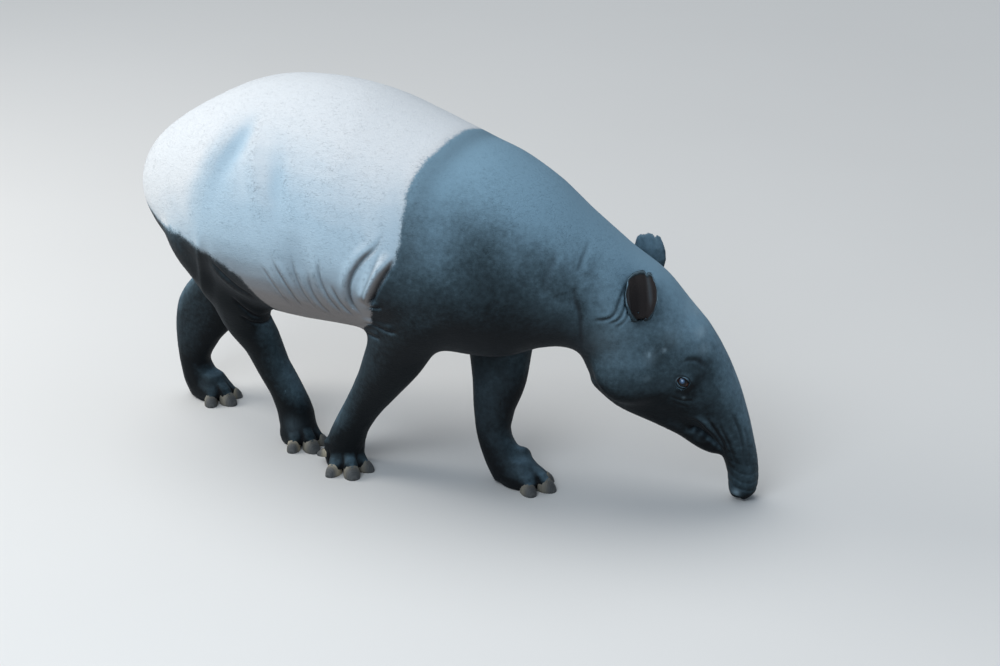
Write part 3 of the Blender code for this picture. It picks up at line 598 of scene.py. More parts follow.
def thin_out(piece, chosen, wanted):
    """Collapses edges between the chosen points until they have the wanted number of triangles."""
    mesh = piece.data
    group = piece.vertex_groups.new(name="thinned")
    group.add(np.flatnonzero(chosen).tolist(), 1.0, "REPLACE")
    triangles = read_triangles(mesh)
    fixed = len(triangles) - chosen[triangles].all(axis=1).sum()
    thin = piece.modifiers.new("thin", "DECIMATE")
    thin.ratio = min(1.0, (fixed + wanted) / len(triangles))
    thin.vertex_group = group.name
    thin.vertex_group_factor = 1.0
    thin.use_collapse_triangulate = True
    apply_modifiers(piece)
    piece.vertex_groups.clear()


def eye_distance(points):
    """How far each point is from the nearer eye's middle."""
    return np.minimum(*(np.linalg.norm(points - eye_frame(side)[0], axis=1) for side in (LEFT, RIGHT)))


def build_skin():
    """One closed hide: the solids fused, smoothed, creased, drawn in by the coat's depth and thinned."""
    skin = joined_solids()
    fuse = skin.modifiers.new("fuse", "REMESH")
    fuse.mode = "VOXEL"
    fuse.voxel_size = SKIN_CELL
    apply_modifiers(skin)
    mesh = skin.data
    points = read_points(mesh)
    points = relax(points, read_edges(mesh), hide_softness(to_body(points)), SMOOTHING_ROUNDS)
    write_points(mesh, points)

    refine(mesh, fine_face(points))
    points = read_points(mesh)
    refine(mesh, eye_distance(points) < FINEST_ROUND_EYES)
    points = read_points(mesh)
    points = relax(points, read_edges(mesh), np.full(len(points), 0.15), 4)
    write_points(mesh, points)

    points, folds = shape_lids(points)
    places = to_body(points)
    away_from_eye = smooth_step(eye_distance(points), 0.020, 0.036)
    move, shade = crease_field(places)
    toe_move, toe_shade = toe_field(points)
    nostril_move, nostril_shade = nostril_field(places)
    move = (move + swelling_field(places)) * away_from_eye + toe_move + snout_field(places) + nostril_move
    depth = COAT_DEPTH + smooth_step(places[:, 0], 0.85, 0.98) * (FACE_COAT_DEPTH - COAT_DEPTH)
    depth = depth * away_from_eye
    write_points(mesh, points)
    points = points + (move - depth)[:, None] * read_normals(mesh)
    points[:, 2] = np.maximum(points[:, 2], SOLE_HEIGHT)
    write_points(mesh, points)
    # Painted shade in the creases, toe clefts, lid folds and nostrils
    set_values(mesh, "crease", np.maximum.reduce([shade * away_from_eye, toe_shade, folds, nostril_shade]))

    thin_out(skin, ~fine_face(read_points(skin.data)), SKIN_TRIANGLES - FACE_TRIANGLES)
    points = read_points(skin.data)
    lids = eye_distance(points) < LIDS_KEPT
    at_lids = lids[read_triangles(skin.data)].any(axis=1).sum()
    thin_out(skin, fine_face(points) & ~lids, FACE_TRIANGLES - at_lids)
    return skin


# Markings: the saddle's front border and the dark hind quarters' upper border, as (height, reach) and
# (reach, height) keys in side view
FRONT_BORDER = [(0.30, 0.255), (0.45, 0.285), (0.50, 0.304), (0.547, 0.316), (0.612, 0.360), (0.664, 0.393),
                (0.717, 0.401), (0.785, 0.396), (0.833, 0.393), (0.878, 0.401), (0.910, 0.416), (1.05, 0.430)]
REAR_BORDER = [(-0.600, 0.640), (-0.500, 0.622), (-0.456, 0.607), (-0.398, 0.593), (-0.297, 0.590),
               (-0.213, 0.574), (-0.140, 0.559), (-0.082, 0.526), (-0.057, 0.475), (-0.040, 0.430),
               (0.000, 0.300)]

# How far each leg reaches from its middle line, as (height, distance)
LEG_REACH = [(0.00, 0.080), (0.12, 0.075), (0.26, 0.090), (0.36, 0.110), (0.45, 0.130), (0.54, 0.150)]


def off_leg(points, leg):
    """How far points are ahead and to the left of a leg's middle line at their height."""
    line = LEG_LINES[leg]
    x = np.interp(points[:, 2], line[:, 2], line[:, 0])
    y = np.interp(points[:, 2], line[:, 2], line[:, 1])
    return points[:, 0] - x, points[:, 1] - y


def leg_share(points):
    """How much each point belongs to a leg, 0 to 1: near a leg's middle line, and below the belly."""
    share = np.zeros(len(points))
    reach = np.interp(points[:, 2], *np.array(LEG_REACH).T)
    for leg in LEG_LINES:
        away = np.hypot(*off_leg(points, leg))
        share = np.maximum(share, 1 - smooth_step(away, reach, 1.3 * reach))
    return share * (1 - smooth_step(points[:, 2], 0.40, 0.54))


def saddle_border(points):
    """Distance inside the white saddle from its nearer border, negative outside, in metres. The rear one
    counts for less than it is, which makes it softer. The legs are outside below the elbow."""
    places = to_body(points)
    front = 0.94 * (np.interp(places[:, 2], *np.array(FRONT_BORDER).T) - places[:, 0])
    rear = 0.50 * (places[:, 2] - np.interp(places[:, 0], *np.array(REAR_BORDER).T))
    leg = leg_share(points) * (1 - smooth_step(places[:, 2], 0.42, 0.48))
    return np.minimum(front, rear) * (1 - leg) - 0.05 * leg


def soft_spots(places, spots):
    """The strongest of several round spots on both sides of the body."""
    total = np.zeros(len(places))
    for reach, height, radius, strength in spots:
        away = np.hypot(places[:, 0] - reach, places[:, 2] - height)
        total = np.maximum(total, strength * bell(away, radius))
    return total


# Pale places of the coat, as (reach, height, radius, strength): pale hair on cheek, snout and jaw; on the
# forehead they are painted sheen, and on the hind feet painted light
PALE_HAIR_AND_SHEEN_SPOTS = [(0.903, 0.432, 0.007, 0.60), (0.939, 0.440, 0.006, 0.50), (0.899, 0.370, 0.007, 0.12),
              (0.905, 0.425, 0.018, 0.16), (0.795, 0.465, 0.055, 0.12), (1.016, 0.513, 0.009, 0.55),
              (1.027, 0.468, 0.012, 0.55), (1.000, 0.528, 0.016, 0.25), (1.036, 0.430, 0.014, 0.22),
              (0.955, 0.470, 0.026, 0.12), (1.129, 0.030, 0.009, 0.60), (0.990, 0.309, 0.004, 0.20),
              (-0.055, 0.065, 0.022, 0.12)]
# Painted shade on the face in the same form: in the mouth's recess, on the lower lip, the jaw and the brow's
# fold
PAINTED_SHADE_SPOTS = [(0.992, 0.206, 0.013, 0.8), (1.010, 0.206, 0.015, 1.0), (1.028, 0.196, 0.016, 1.0),
              (1.042, 0.180, 0.016, 1.0), (1.056, 0.163, 0.014, 1.0), (1.072, 0.148, 0.013, 0.9),
              (1.010, 0.180, 0.024, 0.8), (1.045, 0.160, 0.020, 0.8), (1.075, 0.140, 0.018, 0.7),
              (0.970, 0.195, 0.030, 0.5), (0.925, 0.240, 0.035, 0.35), (0.880, 0.290, 0.035, 0.25),
              (1.024, 0.400, 0.014, 0.5), (1.002, 0.404, 0.010, 0.4), (1.108, 0.090, 0.016, 0.4),
              (1.098, 0.120, 0.014, 0.5)]


# Painted light and shade: how much lighter or darker the hide is painted than its facing alone makes it
HOLLOW_SHADE = 36            # for each metre of a hollow's depth
LEG_SHADE = 0.22
RUMP_LIGHT = 1.90            # where the white rump faces back
QUARTER_SHADE = 0.16         # on the dark hind quarters
NECK_LIGHT = 0.17
HEAD_SHADE = 0.15
SNOUT_LIGHT = 0.12
FOOT_SHADE = 0.40


def sky_value(points, normals, places, border):
    """How far the hide faces up, as painted light and shade: the height of its normal, with the painted shades
    and lights named above.
    """
    reach, _, height = places.T
    sky = np.clip(normals[:, 2], -1, 1)
    sky = sky + HOLLOW_SHADE * np.clip(swelling_field(places), -0.012, 0) - LEG_SHADE * leg_share(points)
    facing_back = np.clip(-normals[:, 0] - 0.10, 0, 1)
    sky = sky + RUMP_LIGHT * facing_back * smooth_step(-reach, 0.10, 0.28) * (border > 0)
    sky = sky - QUARTER_SHADE * smooth_step(-border, 0.0, 0.02) * (1 - smooth_step(reach, 0.0, 0.1))
    sky = sky + NECK_LIGHT * smooth_step(reach, 0.58, 0.68) * smooth_step(height, 0.38, 0.50)
    sky = sky - HEAD_SHADE * smooth_step(reach, 0.87, 0.94)
    sky = sky + SNOUT_LIGHT * smooth_step(reach, 1.05, 1.10)
    return sky - FOOT_SHADE * (1 - smooth_step(height, 0.08, 0.16)) * (1 - smooth_step(reach, 0.80, 0.88))


def skin_values(points, normals):
    """What the materials read at each point of skin or coat: the saddle border, the painted light from how far
    the hide faces up, how brown it is (above 1.1, brown; below, painted shade on the belly and between the
    legs), how pale and how dark with painted shade."""
    places = to_body(points)
    reach, aside, height = places.T
    border = saddle_border(points)
    sky = sky_value(points, normals, places, border)
    # Painted shade on the belly, where the hide faces down, and between the legs; the band before the saddle's
    # front border is darker
    belly = smooth_step(-normals[:, 2], 0.05, 0.65) * smooth_step(height, 0.34, 0.40)
    painted_shade_between_legs = (1 - smooth_step(height, 0.36, 0.50)) * (1 - smooth_step(np.abs(aside), 0.03, 0.10))
    painted_shade_between_legs = painted_shade_between_legs * (1 - smooth_step(reach, 0.62, 0.70))
    dark_band = bell(border + 0.03, 0.03) * smooth_step(reach, 0.10, 0.25)
    warm = np.clip(belly + 0.4 * painted_shade_between_legs + 0.45 * dark_band, 0, 1)
    pale = soft_spots(places, PALE_HAIR_AND_SHEEN_SPOTS)
    for side in (LEFT, RIGHT):
        length, up, stand = about_eye(points, side)
        corner = np.sqrt((length - 0.0165) ** 2 + (up + 0.003) ** 2 + (stand - 0.010) ** 2)
        warm = np.maximum(warm, 1.7 * bell(corner, 0.0065))
        ring = np.hypot(length / SLIT_HALF_LENGTH, up / SLIT_HALF_HEIGHT)
        rim = bell(ring - 1.16, 0.10) * (stand > 0) * smooth_step(-length, -0.012, 0.006)
        pale = np.maximum(pale, 0.32 * rim)
    dark = soft_spots(places, PAINTED_SHADE_SPOTS)
    # Painted shade where each ear meets the head
    for name, (ear_reach, ear_height, spread, _) in EARS.items():
        root = to_frame(ear_reach, side_of(name) * spread, ear_height)
        dark = np.maximum(dark, 0.9 * bell(np.linalg.norm(points - root, axis=1), 0.020))
    return {"border": border, "sky": sky, "warm": warm, "pale": pale, "dark": dark}


def coat_lie(points, normals):
    """The way the coat lies: back along the body and a little down, down the legs, and down the face towards
    the snout's end, each laid flat on the skin."""
    places = to_body(points)
    turn = heading(places[:, 0])
    ahead = np.stack([np.cos(turn), np.sin(turn), 0 * turn], 1)
    down = np.array([0.0, 0.0, -1.0])
    steep = np.abs((normals * np.cross(ahead, down)).sum(1))[:, None]
    body = -ahead + down * (0.30 + 0.55 * steep)
    leg = leg_share(points)[:, None]
    lie = body * (1 - leg) + (down - 0.25 * ahead) * leg
    face = smooth_step(places[:, 0], 0.93, 1.03)[:, None]
    lie = lie * (1 - face) + (0.35 * ahead + 1.0 * down) * face
    lie = lie - normals * (lie * normals).sum(1, keepdims=True)
    return unit(lie)


# Kinds of coat: tufts per square metre of skin, and a tuft's usual length and width
COAT_KINDS = {
    "trunk": (32000, 0.0095, 0.0012),
    "leg": (38000, 0.0075, 0.0011),
    "neck": (38000, 0.0080, 0.0011),
    "head": (52000, 0.0058, 0.0009),
    "foot": (60000, 0.0045, 0.0009),
    "snout": (90000, 0.0036, 0.0007),
}


def coat_kind(points):
    """Which kind of coat grows at each point."""
    places = to_body(points)
    reach, _, height = places.T
    kinds = np.full(len(points), "trunk", dtype="U8")
    legs = leg_share(points) > 0.6
    kinds[legs] = "leg"
    kinds[legs & (height < 0.09)] = "foot"
    kinds[(reach > 0.62) & ~legs] = "neck"
    kinds[(reach > 0.84) & ~legs] = "head"
    kinds[(reach > 1.03) & (height < 0.27)] = "snout"
    return kinds


def coat_sizes(kinds):
    """Tufts per square metre, length and width of a tuft, for each of these kinds."""
    return [np.select([kinds == k for k in COAT_KINDS], column) for column in zip(*COAT_KINDS.values())]


def coat_region(points):
    """The coat piece that each point belongs to."""
    places = to_body(points)
    reach = places[:, 0]
    regions = np.full(len(points), "coat_rump", dtype="U20")
    regions[reach > -0.23] = "coat_loins"
    regions[reach > -0.02] = "coat_barrel"
    regions[reach > 0.20] = "coat_ribs"
    regions[reach > 0.43] = "coat_shoulders"
    regions[reach > 0.62] = "coat_neck"
    regions[reach > 0.84] = "coat_head"
    regions[reach > 0.985] = "coat_face"
    legs = leg_share(points) > 0.6
    middle = (LEG_LINES["fore_left"][-1, 0] + LEG_LINES["hind_left"][-1, 0]) / 2
    for leg in FEET:
        kind, name = leg.split("_")
        fore = points[:, 0] > middle
        left = points[:, 1] > 0
        regions[legs & (fore == (kind == "fore")) & (left == (name == "left"))] = f"coat_{leg}"
    return regions


def coat_map(points, region):
    """The chart a region's tufts are laid out on: how far along the region, and the angle round its middle
    line."""
    if region.startswith("coat_fore_") or region.startswith("coat_hind_"):
        ahead, left = off_leg(points, region[len("coat_"):])
        along, angle = points[:, 2], np.arctan2(left, ahead)
    else:
        places = to_body(points)
        middle = 0.68 - smooth_step(places[:, 0], 0.60, 1.0) * 0.33
        along, angle = places[:, 0], np.arctan2(places[:, 2] - middle, places[:, 1])
        snout = smooth_step(places[:, 0], 1.0, 1.1)
        along = along - snout * (places[:, 2] - 0.2) * 0.5
    span = max(float(np.ptp(along)), 1e-6)
    return np.stack([0.01 + 0.98 * (along - along.min()) / span, 0.5 + 0.49 * angle / math.pi], 1)


def waves(points, count, longest, shortest, seed):
    """Smooth random unevenness: the mean of sine waves in seeded directions, of lengths between two sizes."""
    rng = np.random.default_rng(seed)
    ways = unit(rng.normal(size=(count, 3)))
    lengths = np.exp(rng.uniform(math.log(shortest), math.log(longest), count))
    starts = rng.uniform(0, 2 * math.pi, count)
    turns = points @ (ways * 2 * math.pi / lengths[:, None]).T
    return np.sin(turns + starts).mean(axis=1) * math.sqrt(2 * count)


def tuft_arrays(roots, normals, lie, length, width, lift, bend):
    """Slivers of seven points. A triangle at the root, sunk in the skin, another half way whose ridge is
    raised by the lift, and a point at the tip that comes back down to the skin, pushed aside by the bend."""
    cross = np.cross(normals, lie)
    length, width, lift, bend = (v[:, None] for v in (length, width, lift, bend))
    base = roots - 0.0005 * normals - 0.05 * length * lie
    middle = roots + 0.52 * length * lie + 0.95 * lift * normals + 0.35 * bend * cross
    tip = roots + length * lie + (0.55 * lift - 0.010 * length) * normals + bend * cross
    points = np.stack([
        base - 0.42 * width * cross, base + 0.42 * width * cross, base + 0.16 * width * normals,
        middle - 0.50 * width * cross - 0.06 * width * normals,
        middle + 0.50 * width * cross - 0.06 * width * normals, middle + 0.10 * width * normals,
        tip,
    ], 1)
    faces = np.array([[2, 1, 0], [4, 3, 0], [1, 4, 0], [5, 4, 1], [2, 5, 1], [3, 5, 2], [0, 3, 2],
                      [4, 6, 3], [5, 6, 4], [3, 6, 5]])
    faces = (len(TIP_SHARES) * np.arange(len(roots)))[:, None, None] + faces
    return points.reshape(-1, 3), faces.reshape(-1, 3)


TIP_SHARES = np.array([0.0, 0.0, 0.0, 0.5, 0.5, 0.55, 1.0])
PATCH_CORNERS = PATCH * np.array([[-0.5, -0.3], [-0.5, 0.3], [-0.5, 0.0], [0.0, -0.4], [0.0, 0.4], [0.0, 0.0],
                                  [0.5, 0.0]])


def set_tuft_values(mesh, values):
    """What is known of each tuft, kept at all its points, and how far towards the tip each point is."""
    for name, value in values.items():
        set_values(mesh, name, np.repeat(value, len(TIP_SHARES), axis=0))
    set_values(mesh, "tip", np.tile(TIP_SHARES, len(mesh.vertices) // len(TIP_SHARES)))


def set_patches(mesh, places):
    """The coat's own map: each tuft is a small patch about its root's place on the region's chart."""
    corners = (places[:, None] + PATCH_CORNERS).reshape(-1, 2)
    layer = mesh.uv_layers.new(name="OFBake")
    picked = np.empty(len(mesh.loops), np.int32)
    mesh.loops.foreach_get("vertex_index", picked)
    layer.data.foreach_set("uv", np.clip(corners[picked], 0, 1).astype(np.float32).ravel())


def bare_places(points):
    """Where no coat grows: on the hooves, the soles, the lids' rims and slits, and inside the nostrils."""
    bare = points[:, 2] < 0.004
    for name in HOOVES:
        low, high = (np.array(corner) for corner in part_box(name))
        bare |= np.all((points > low - 0.001) & (points < high + 0.001), axis=1)
    for side in (LEFT, RIGHT):
        length, height, stand = about_eye(points, side)
        ring = np.hypot(length / SLIT_HALF_LENGTH, height / SLIT_HALF_HEIGHT)
        bare |= (ring < 1.25) & (stand > -0.005)
    return bare | (nostril_field(to_body(points))[1] > 0.3)


def grow_coat(skin):
    """Seeded tufts over the whole skin, in one piece for each region. A region's tufts past TUFTS_A_PIECE
    are left out; they come in random order, so that thins the coat evenly."""
    rng = np.random.default_rng(11)
    mesh = skin.data
    points, normals, triangles = read_points(mesh), read_normals(mesh), read_triangles(mesh)
    crease = read_rows(mesh.attributes["crease"].data, "value", 1)[:, 0]
    corners = points[triangles]
    areas = np.linalg.norm(np.cross(corners[:, 1] - corners[:, 0], corners[:, 2] - corners[:, 0]), axis=1) / 2
    kinds = coat_kind(corners.mean(axis=1))
    density, _, _ = coat_sizes(kinds)
    expected = areas * density
    chosen = rng.choice(len(triangles), size=int(expected.sum()), p=expected / expected.sum())
    first, second = rng.random((2, len(chosen)))
    over = first + second > 1
    first[over], second[over] = 1 - first[over], 1 - second[over]
    weights = np.stack([1 - first - second, first, second], 1)[..., None]
    roots = (points[triangles[chosen]] * weights).sum(1)
    normals = unit((normals[triangles[chosen]] * weights).sum(1))
    crease = (crease[triangles[chosen]] * weights[..., 0]).sum(1)
    kept = ~bare_places(roots)
    roots, normals, crease = roots[kept], normals[kept], crease[kept]
    kinds = kinds[chosen][kept]

    lie = coat_lie(roots, normals)
    cross = np.cross(normals, lie)
    stray = 0.16 * rng.normal(size=len(roots)) + 0.18 * waves(roots, 24, 0.12, 0.02, 5)
    lie = unit(lie + stray[:, None] * cross)
    _, length, width = coat_sizes(kinds)
    length = length * rng.uniform(0.7, 1.25, len(roots)) * (1 - 0.5 * crease)
    width = width * rng.uniform(0.75, 1.25, len(roots))
    ripple = 0.5 + 0.5 * np.clip(2.0 * waves(roots * np.array([1.0, 1.0, 2.0]), 60, 0.022, 0.010, 9), -1, 1)
    least, rippled, chance = TUFT_LIFT
    lift = (least + rippled * ripple + chance * rng.random(len(roots)) ** 4) * length
    bend = 0.10 * length * rng.normal(size=len(roots))
    tone = np.clip(0.5 + 0.11 * rng.normal(size=len(roots)) + 0.14 * (ripple - 0.5), 0, 1)
    values = skin_values(roots, normals)
    values.update(crease=crease, tone=tone, hide_normal=normals)

    regions = coat_region(roots)
    pieces = []
    for region in np.unique(regions):
        picked = np.flatnonzero(regions == region)[:TUFTS_A_PIECE]
        tufts, faces = tuft_arrays(roots[picked], normals[picked], lie[picked], length[picked], width[picked],
                                   lift[picked], bend[picked])
        tufts[:, 2] = np.maximum(tufts[:, 2], 0.0004)
        piece = make_piece(str(region), tufts, faces)
        set_tuft_values(piece.data, {name: value[picked] for name, value in values.items()})
        set_patches(piece.data, coat_map(roots[picked], str(region)))
        pieces.append(piece)
    return pieces


EAR_PAINTED_LIGHT = 0.35             # painted light: how much lighter the backs of the ears are painted than their facing makes them
EAR_TUFTS = 4200


def ear(name):
    """A cup of thin hide, open forwards and outwards. Across, the sheet is wrapped round an upright axis by
    an angle that opens out with height; the radius swells at mid height; the rim is low at its ends, higher
    in front and notched between two tips; the foot of the sheet is sunk in the head. The inner sheet is the
    outer one moved in by a wall that thins out to the rim, with upright folds."""
    reach, root_height, spread, turn = EARS[name]
    side = side_of(name)
    out, across, up = head_axes(side, turn)
    root = to_frame(reach, side * spread, root_height)
    rows, columns = 44, 81
    h = np.linspace(-0.16, 1.0, rows)[:, None]
    a = np.linspace(-1.0, 1.0, columns)[None, :]
    stations = np.array([-0.16, 0.0, 0.20, 0.45, 0.70, 0.90, 1.0])
    radius = np.interp(h, stations, [0.022, 0.023, 0.033, 0.0400, 0.0400, 0.0370, 0.0340])
    wrap = np.interp(h, stations, [2.75, 2.65, 2.10, 1.72, 1.55, 1.45, 1.38])
    rim = 0.80 + 0.20 * (1 - np.abs(a) ** 2.2) + 0.05 * a - 0.050 * bell(a - 0.45, 0.09)
    rim = rim + 0.010 * np.sin(11.0 * a + 0.6) + 0.005 * np.sin(27.0 * a)
    height = EAR_HEIGHT * (h + (rim - 1) * np.clip(h, 0, 1) ** 2)
    angle = wrap * a
    crinkle = 0.0012 * np.sin(13 * a + 4 * h) * smooth_step(h, 0.50, 1.0)
    lean = 0.004 * np.clip(h, 0, 1) ** 2
    sideways = (radius + crinkle) * np.sin(angle)
    sunk = 0.006 * (1 - smooth_step(h, -0.05, 0.35)) + 0.045 * (1 - smooth_step(h, -0.16, 0.05))
    inwards = (0.60 * radius + crinkle) * np.cos(angle) - 0.006 + sunk
    outer = (root + height[..., None] * up + sideways[..., None] * across - inwards[..., None] * out
             - (lean * np.ones_like(a))[..., None] * across)
    normal = unit(np.cross(np.gradient(outer, axis=1), np.gradient(outer, axis=0)))
    normal = normal * np.sign((normal[rows // 2, columns // 2] * -out).sum())
    wall = 0.0052 - 0.0036 * smooth_step(h, 0.0, 0.9) - 0.0008 * np.abs(a) ** 3
    wall = wall + 0.0034 * np.maximum(np.sin(9 * a + 0.4), 0) * bell(h - 0.45, 0.35) * (1 - np.abs(a) ** 4)
    inner = outer - normal * wall[..., None]
    points = np.concatenate([outer, inner[:, ::-1]], axis=1)
    width = 2 * columns
    walls = grid_faces(rows, width, wrap=True)
    first = np.arange(columns - 1)
    cap = np.stack([first, first + 1, width - 2 - first, width - 1 - first], 1)
    faces = np.concatenate([walls, cap[:, ::-1], cap + (rows - 1) * width])
    piece = make_piece(name.replace("ear_", "ear_cup_"), points.reshape(-1, 3), faces)
    turn_outwards(piece.data)
    inside = np.concatenate([np.zeros((rows, columns)), np.ones((rows, columns))], axis=1)
    edge = np.maximum(smooth_step(h, 0.90, 1.0), smooth_step(np.abs(a), 0.93, 1.0) * smooth_step(h, 0.2, 0.5))
    edge = np.concatenate([edge, edge[:, ::-1]], axis=1)
    both = np.concatenate([a, a[:, ::-1]], axis=1)
    # Painted shade deep inside the cup, less towards the rim
    deep = inside * (1 - 0.8 * edge) * (0.15 + 0.80 * bell(both + 0.05, 0.38) * bell(h - 0.40, 0.45))
    streak = inside * (bell(both - 0.46, 0.10) + 0.6 * bell(both + 0.62, 0.10)) * smooth_step(h, 0.15, 0.5)
    thin_edge = smooth_step(edge, 0.55, 1.0) * smooth_step(h, 0.15, 0.40)
    # Painted light on the back of the ear by how it faces up; none inside
    sky = np.concatenate([normal[..., 2] + EAR_PAINTED_LIGHT, 0 * normal[..., 2]], axis=1)
    values = {"crease": np.clip(deep - 0.55 * streak, 0, 1), "border": -1.0, "dark": 0.0, "sky": sky,
              "pale": 0.32 * thin_edge + 0.10 * streak * (1 - edge),
              "warm": inside * (1 - edge) * (1.55 - 0.1 * streak)}
    for label, value in values.items():
        set_values(piece.data, label, (value * np.ones((rows, width))).ravel())
    return piece, outer, normal, edge[:, :columns]


def ear_coat(name, outer, normal, edge):
    """Short tufts up the back of an ear, and a paler fringe along its rim."""
    rng = np.random.default_rng(21 + len(name))
    rows, columns = edge.shape
    count = EAR_TUFTS
    row = 0.16 * (rows - 1) + rng.random(count) * 0.83 * (rows - 1)
    column = rng.random(count) * (columns - 1)
    fringe = rng.random(count) < 0.12
    row[fringe] = (rows - 1) * rng.uniform(0.975, 1.0, fringe.sum())
    r, c = np.floor(row).astype(int), np.floor(column).astype(int)
    r, c = np.minimum(r, rows - 2), np.minimum(c, columns - 2)
    s, t = (row - r)[:, None], (column - c)[:, None]

    def between(grid):
        return ((grid[r, c] * (1 - t) + grid[r, c + 1] * t) * (1 - s)
                + (grid[r + 1, c] * (1 - t) + grid[r + 1, c + 1] * t) * s)

    roots, normals = between(outer), unit(between(normal))
    up = unit(outer[r + 1, c] - outer[r, c])
    lie = unit(up + 0.25 * rng.normal(size=(count, 1)) * np.cross(normals, up))
    lie = unit(lie - normals * (lie * normals).sum(1, keepdims=True))
    length = np.where(fringe, 0.0026, 0.0055) * rng.uniform(0.6, 1.1, count)
    width = np.full(count, 0.0009) * rng.uniform(0.7, 1.2, count)
    tufts, faces = tuft_arrays(roots, normals, lie, length, width, 0.05 * length, 0.10 * length)
    piece = make_piece("coat_" + name, tufts, faces)
    pale = np.where(fringe, 0.40, 0.25 * between(edge[..., None])[:, 0])
    none = np.zeros(count)
    # The tufts take the back's painted light
    set_tuft_values(piece.data, {
        "border": none - 1.0, "sky": normals[:, 2] + EAR_PAINTED_LIGHT, "warm": none, "dark": none, "pale": pale,
        "crease": none, "tone": rng.uniform(0.3, 0.7, count), "hide_normal": normals})
    set_patches(piece.data, np.stack([0.02 + 0.96 * row / rows, 0.02 + 0.96 * column / columns], 1))
    return piece


def eyeball(side):
    """A ball with a low bulge over the iris. The material reads how far each point is from the middle of the
    gaze, as an angle."""
    centre = eye_frame(side)[0]
    axes = head_axes(side, math.radians(16))
    rows, columns = 72, 64
    points, faces = ball(centre, (EYE_RADIUS,) * 3, axes, rows, columns)
    polar = np.repeat(np.linspace(0, math.pi, rows), columns)
    points = centre + (points - centre) * (1 + 0.055 * bell(polar, 0.55))[:, None]
    piece = make_piece("eyeball_left" if side == LEFT else "eyeball_right", points, faces)
    turn_outwards(piece.data, seams=True)
    off = read_points(piece.data) - centre
    gaze, level, upright = off @ axes[0], off @ axes[1], off @ axes[2]
    set_values(piece.data, "from_gaze", np.arctan2(np.hypot(level, upright), gaze))
    set_values(piece.data, "upright", upright / EYE_RADIUS)
    set_values(piece.data, "level", level / EYE_RADIUS)
    return piece


def hoof(name):
    """A hoof over its solid: along the toe its half width and height are a rounded nose, across it is a half
    superellipse over a flat sole, with growth rings pressed round the wall."""
    points = np.unique(np.round(read_points(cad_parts[name].data), 6), axis=0)
    leg = "_".join(name.split("_")[1:3])
    middle = box_centre(FEET[leg])[:2]
    way = unit(points.mean(axis=0)[:2] - middle)
    ahead = np.array([way[0], way[1], 0.0])
    across = np.array([-way[1], way[0], 0.0])
    along = points @ ahead
    wide = points @ across
    low, high = points[:, 2].min(), points[:, 2].max()
    start, end = along.min(), along.max() + 0.0008
    half = (wide.max() - wide.min()) / 2 + 0.0010
    centre = (wide.max() + wide.min()) / 2
    t = np.linspace(0, 1, 40)[:, None]
    angle = np.linspace(0, math.pi, 33)[None, :]
    nose = np.clip(1 - t**3.4, 0, 1) ** 0.42
    half_width = half * (0.94 + 0.10 * np.sin(math.pi * t) ** 1.5) * nose
    height = (high - low + 0.0012) * (1 - 0.52 * t**1.25) * np.clip(1 - t**9, 0, 1) ** 0.5
    ring = 0.00045 * np.sin(2 * math.pi * t * 7 + 0.6 * np.sin(angle * 2)) * smooth_step(t, 0.10, 0.25) * nose
    c, s = np.cos(angle), np.sin(angle)
    sideways = (half_width + ring) * np.sign(c) * np.abs(c) ** 0.85
    rise = (height + ring) * np.abs(s) ** 0.75
    place = start + (end - start) * t - 0.16 * rise * smooth_step(t, 0.3, 1.0)
    shape = (place[..., None] * ahead + (centre + sideways)[..., None] * across
             + (low + 0.0002 + rise)[..., None] * np.array([0, 0, 1.0]))
    rows, columns = shape.shape[:2]
    first = np.arange(columns)
    sole = np.stack([np.arange(rows - 1) * columns, np.arange(rows - 1) * columns + columns - 1,
                     np.arange(1, rows) * columns + columns - 1, np.arange(1, rows) * columns], 1)
    back = np.stack([first[1:-1] * 0, first[1:-1], first[2:]], 1)
    wall = grid_faces(rows, columns)
    piece = make_piece("horn_" + name[len("hoof_"):], shape.reshape(-1, 3), wall, sole, back)
    turned = np.repeat(t, columns, axis=1).ravel()
    set_values(piece.data, "down_the_wall", turned)
    set_values(piece.data, "cream", np.full(len(turned), 1.0 if name.endswith(("outer", "small")) else 0.35))
    turn_outwards(piece.data, seams=True)
    return piece


def link(tree, source, target):
    tree.links.new(source, target)


def feed(tree, socket, value):
    """Links another node's output to a socket, or sets the socket's own value."""
    if isinstance(value, bpy.types.NodeSocket):
        tree.links.new(value, socket)
    else:
        socket.default_value = value


def add_node(tree, kind, inputs=(), **settings):
    """A node with its settings; inputs are pairs of socket and either a value or another node's output."""
    made = tree.nodes.new(kind)
    for key, value in settings.items():
        setattr(made, key, value)
    for socket, value in inputs:
        feed(tree, made.inputs[socket], value)
    return made


def new_group(name, inputs, outputs):
    """An empty node group with its named sockets. Returns the tree and its input and output nodes."""
    tree = bpy.data.node_groups.new(name, "ShaderNodeTree")
    for label, kind, value in inputs:
        socket = tree.interface.new_socket(name=label, in_out="INPUT", socket_type=kind)
        if value is not None:
            socket.default_value = value
    for label, kind in outputs:
        tree.interface.new_socket(name=label, in_out="OUTPUT", socket_type=kind)
    return tree, tree.nodes.new("NodeGroupInput"), tree.nodes.new("NodeGroupOutput")


def maths(tree, operation, *values, clamp=False):
    """One sum as a node: its output."""
    inputs = list(enumerate(values))
    return add_node(tree, "ShaderNodeMath", inputs, operation=operation, use_clamp=clamp).outputs[0]


def vector_maths(tree, operation, values):
    """One sum on vectors as a node, its values given by socket number: its output."""
    return add_node(tree, "ShaderNodeVectorMath", list(values.items()), operation=operation).outputs[0]


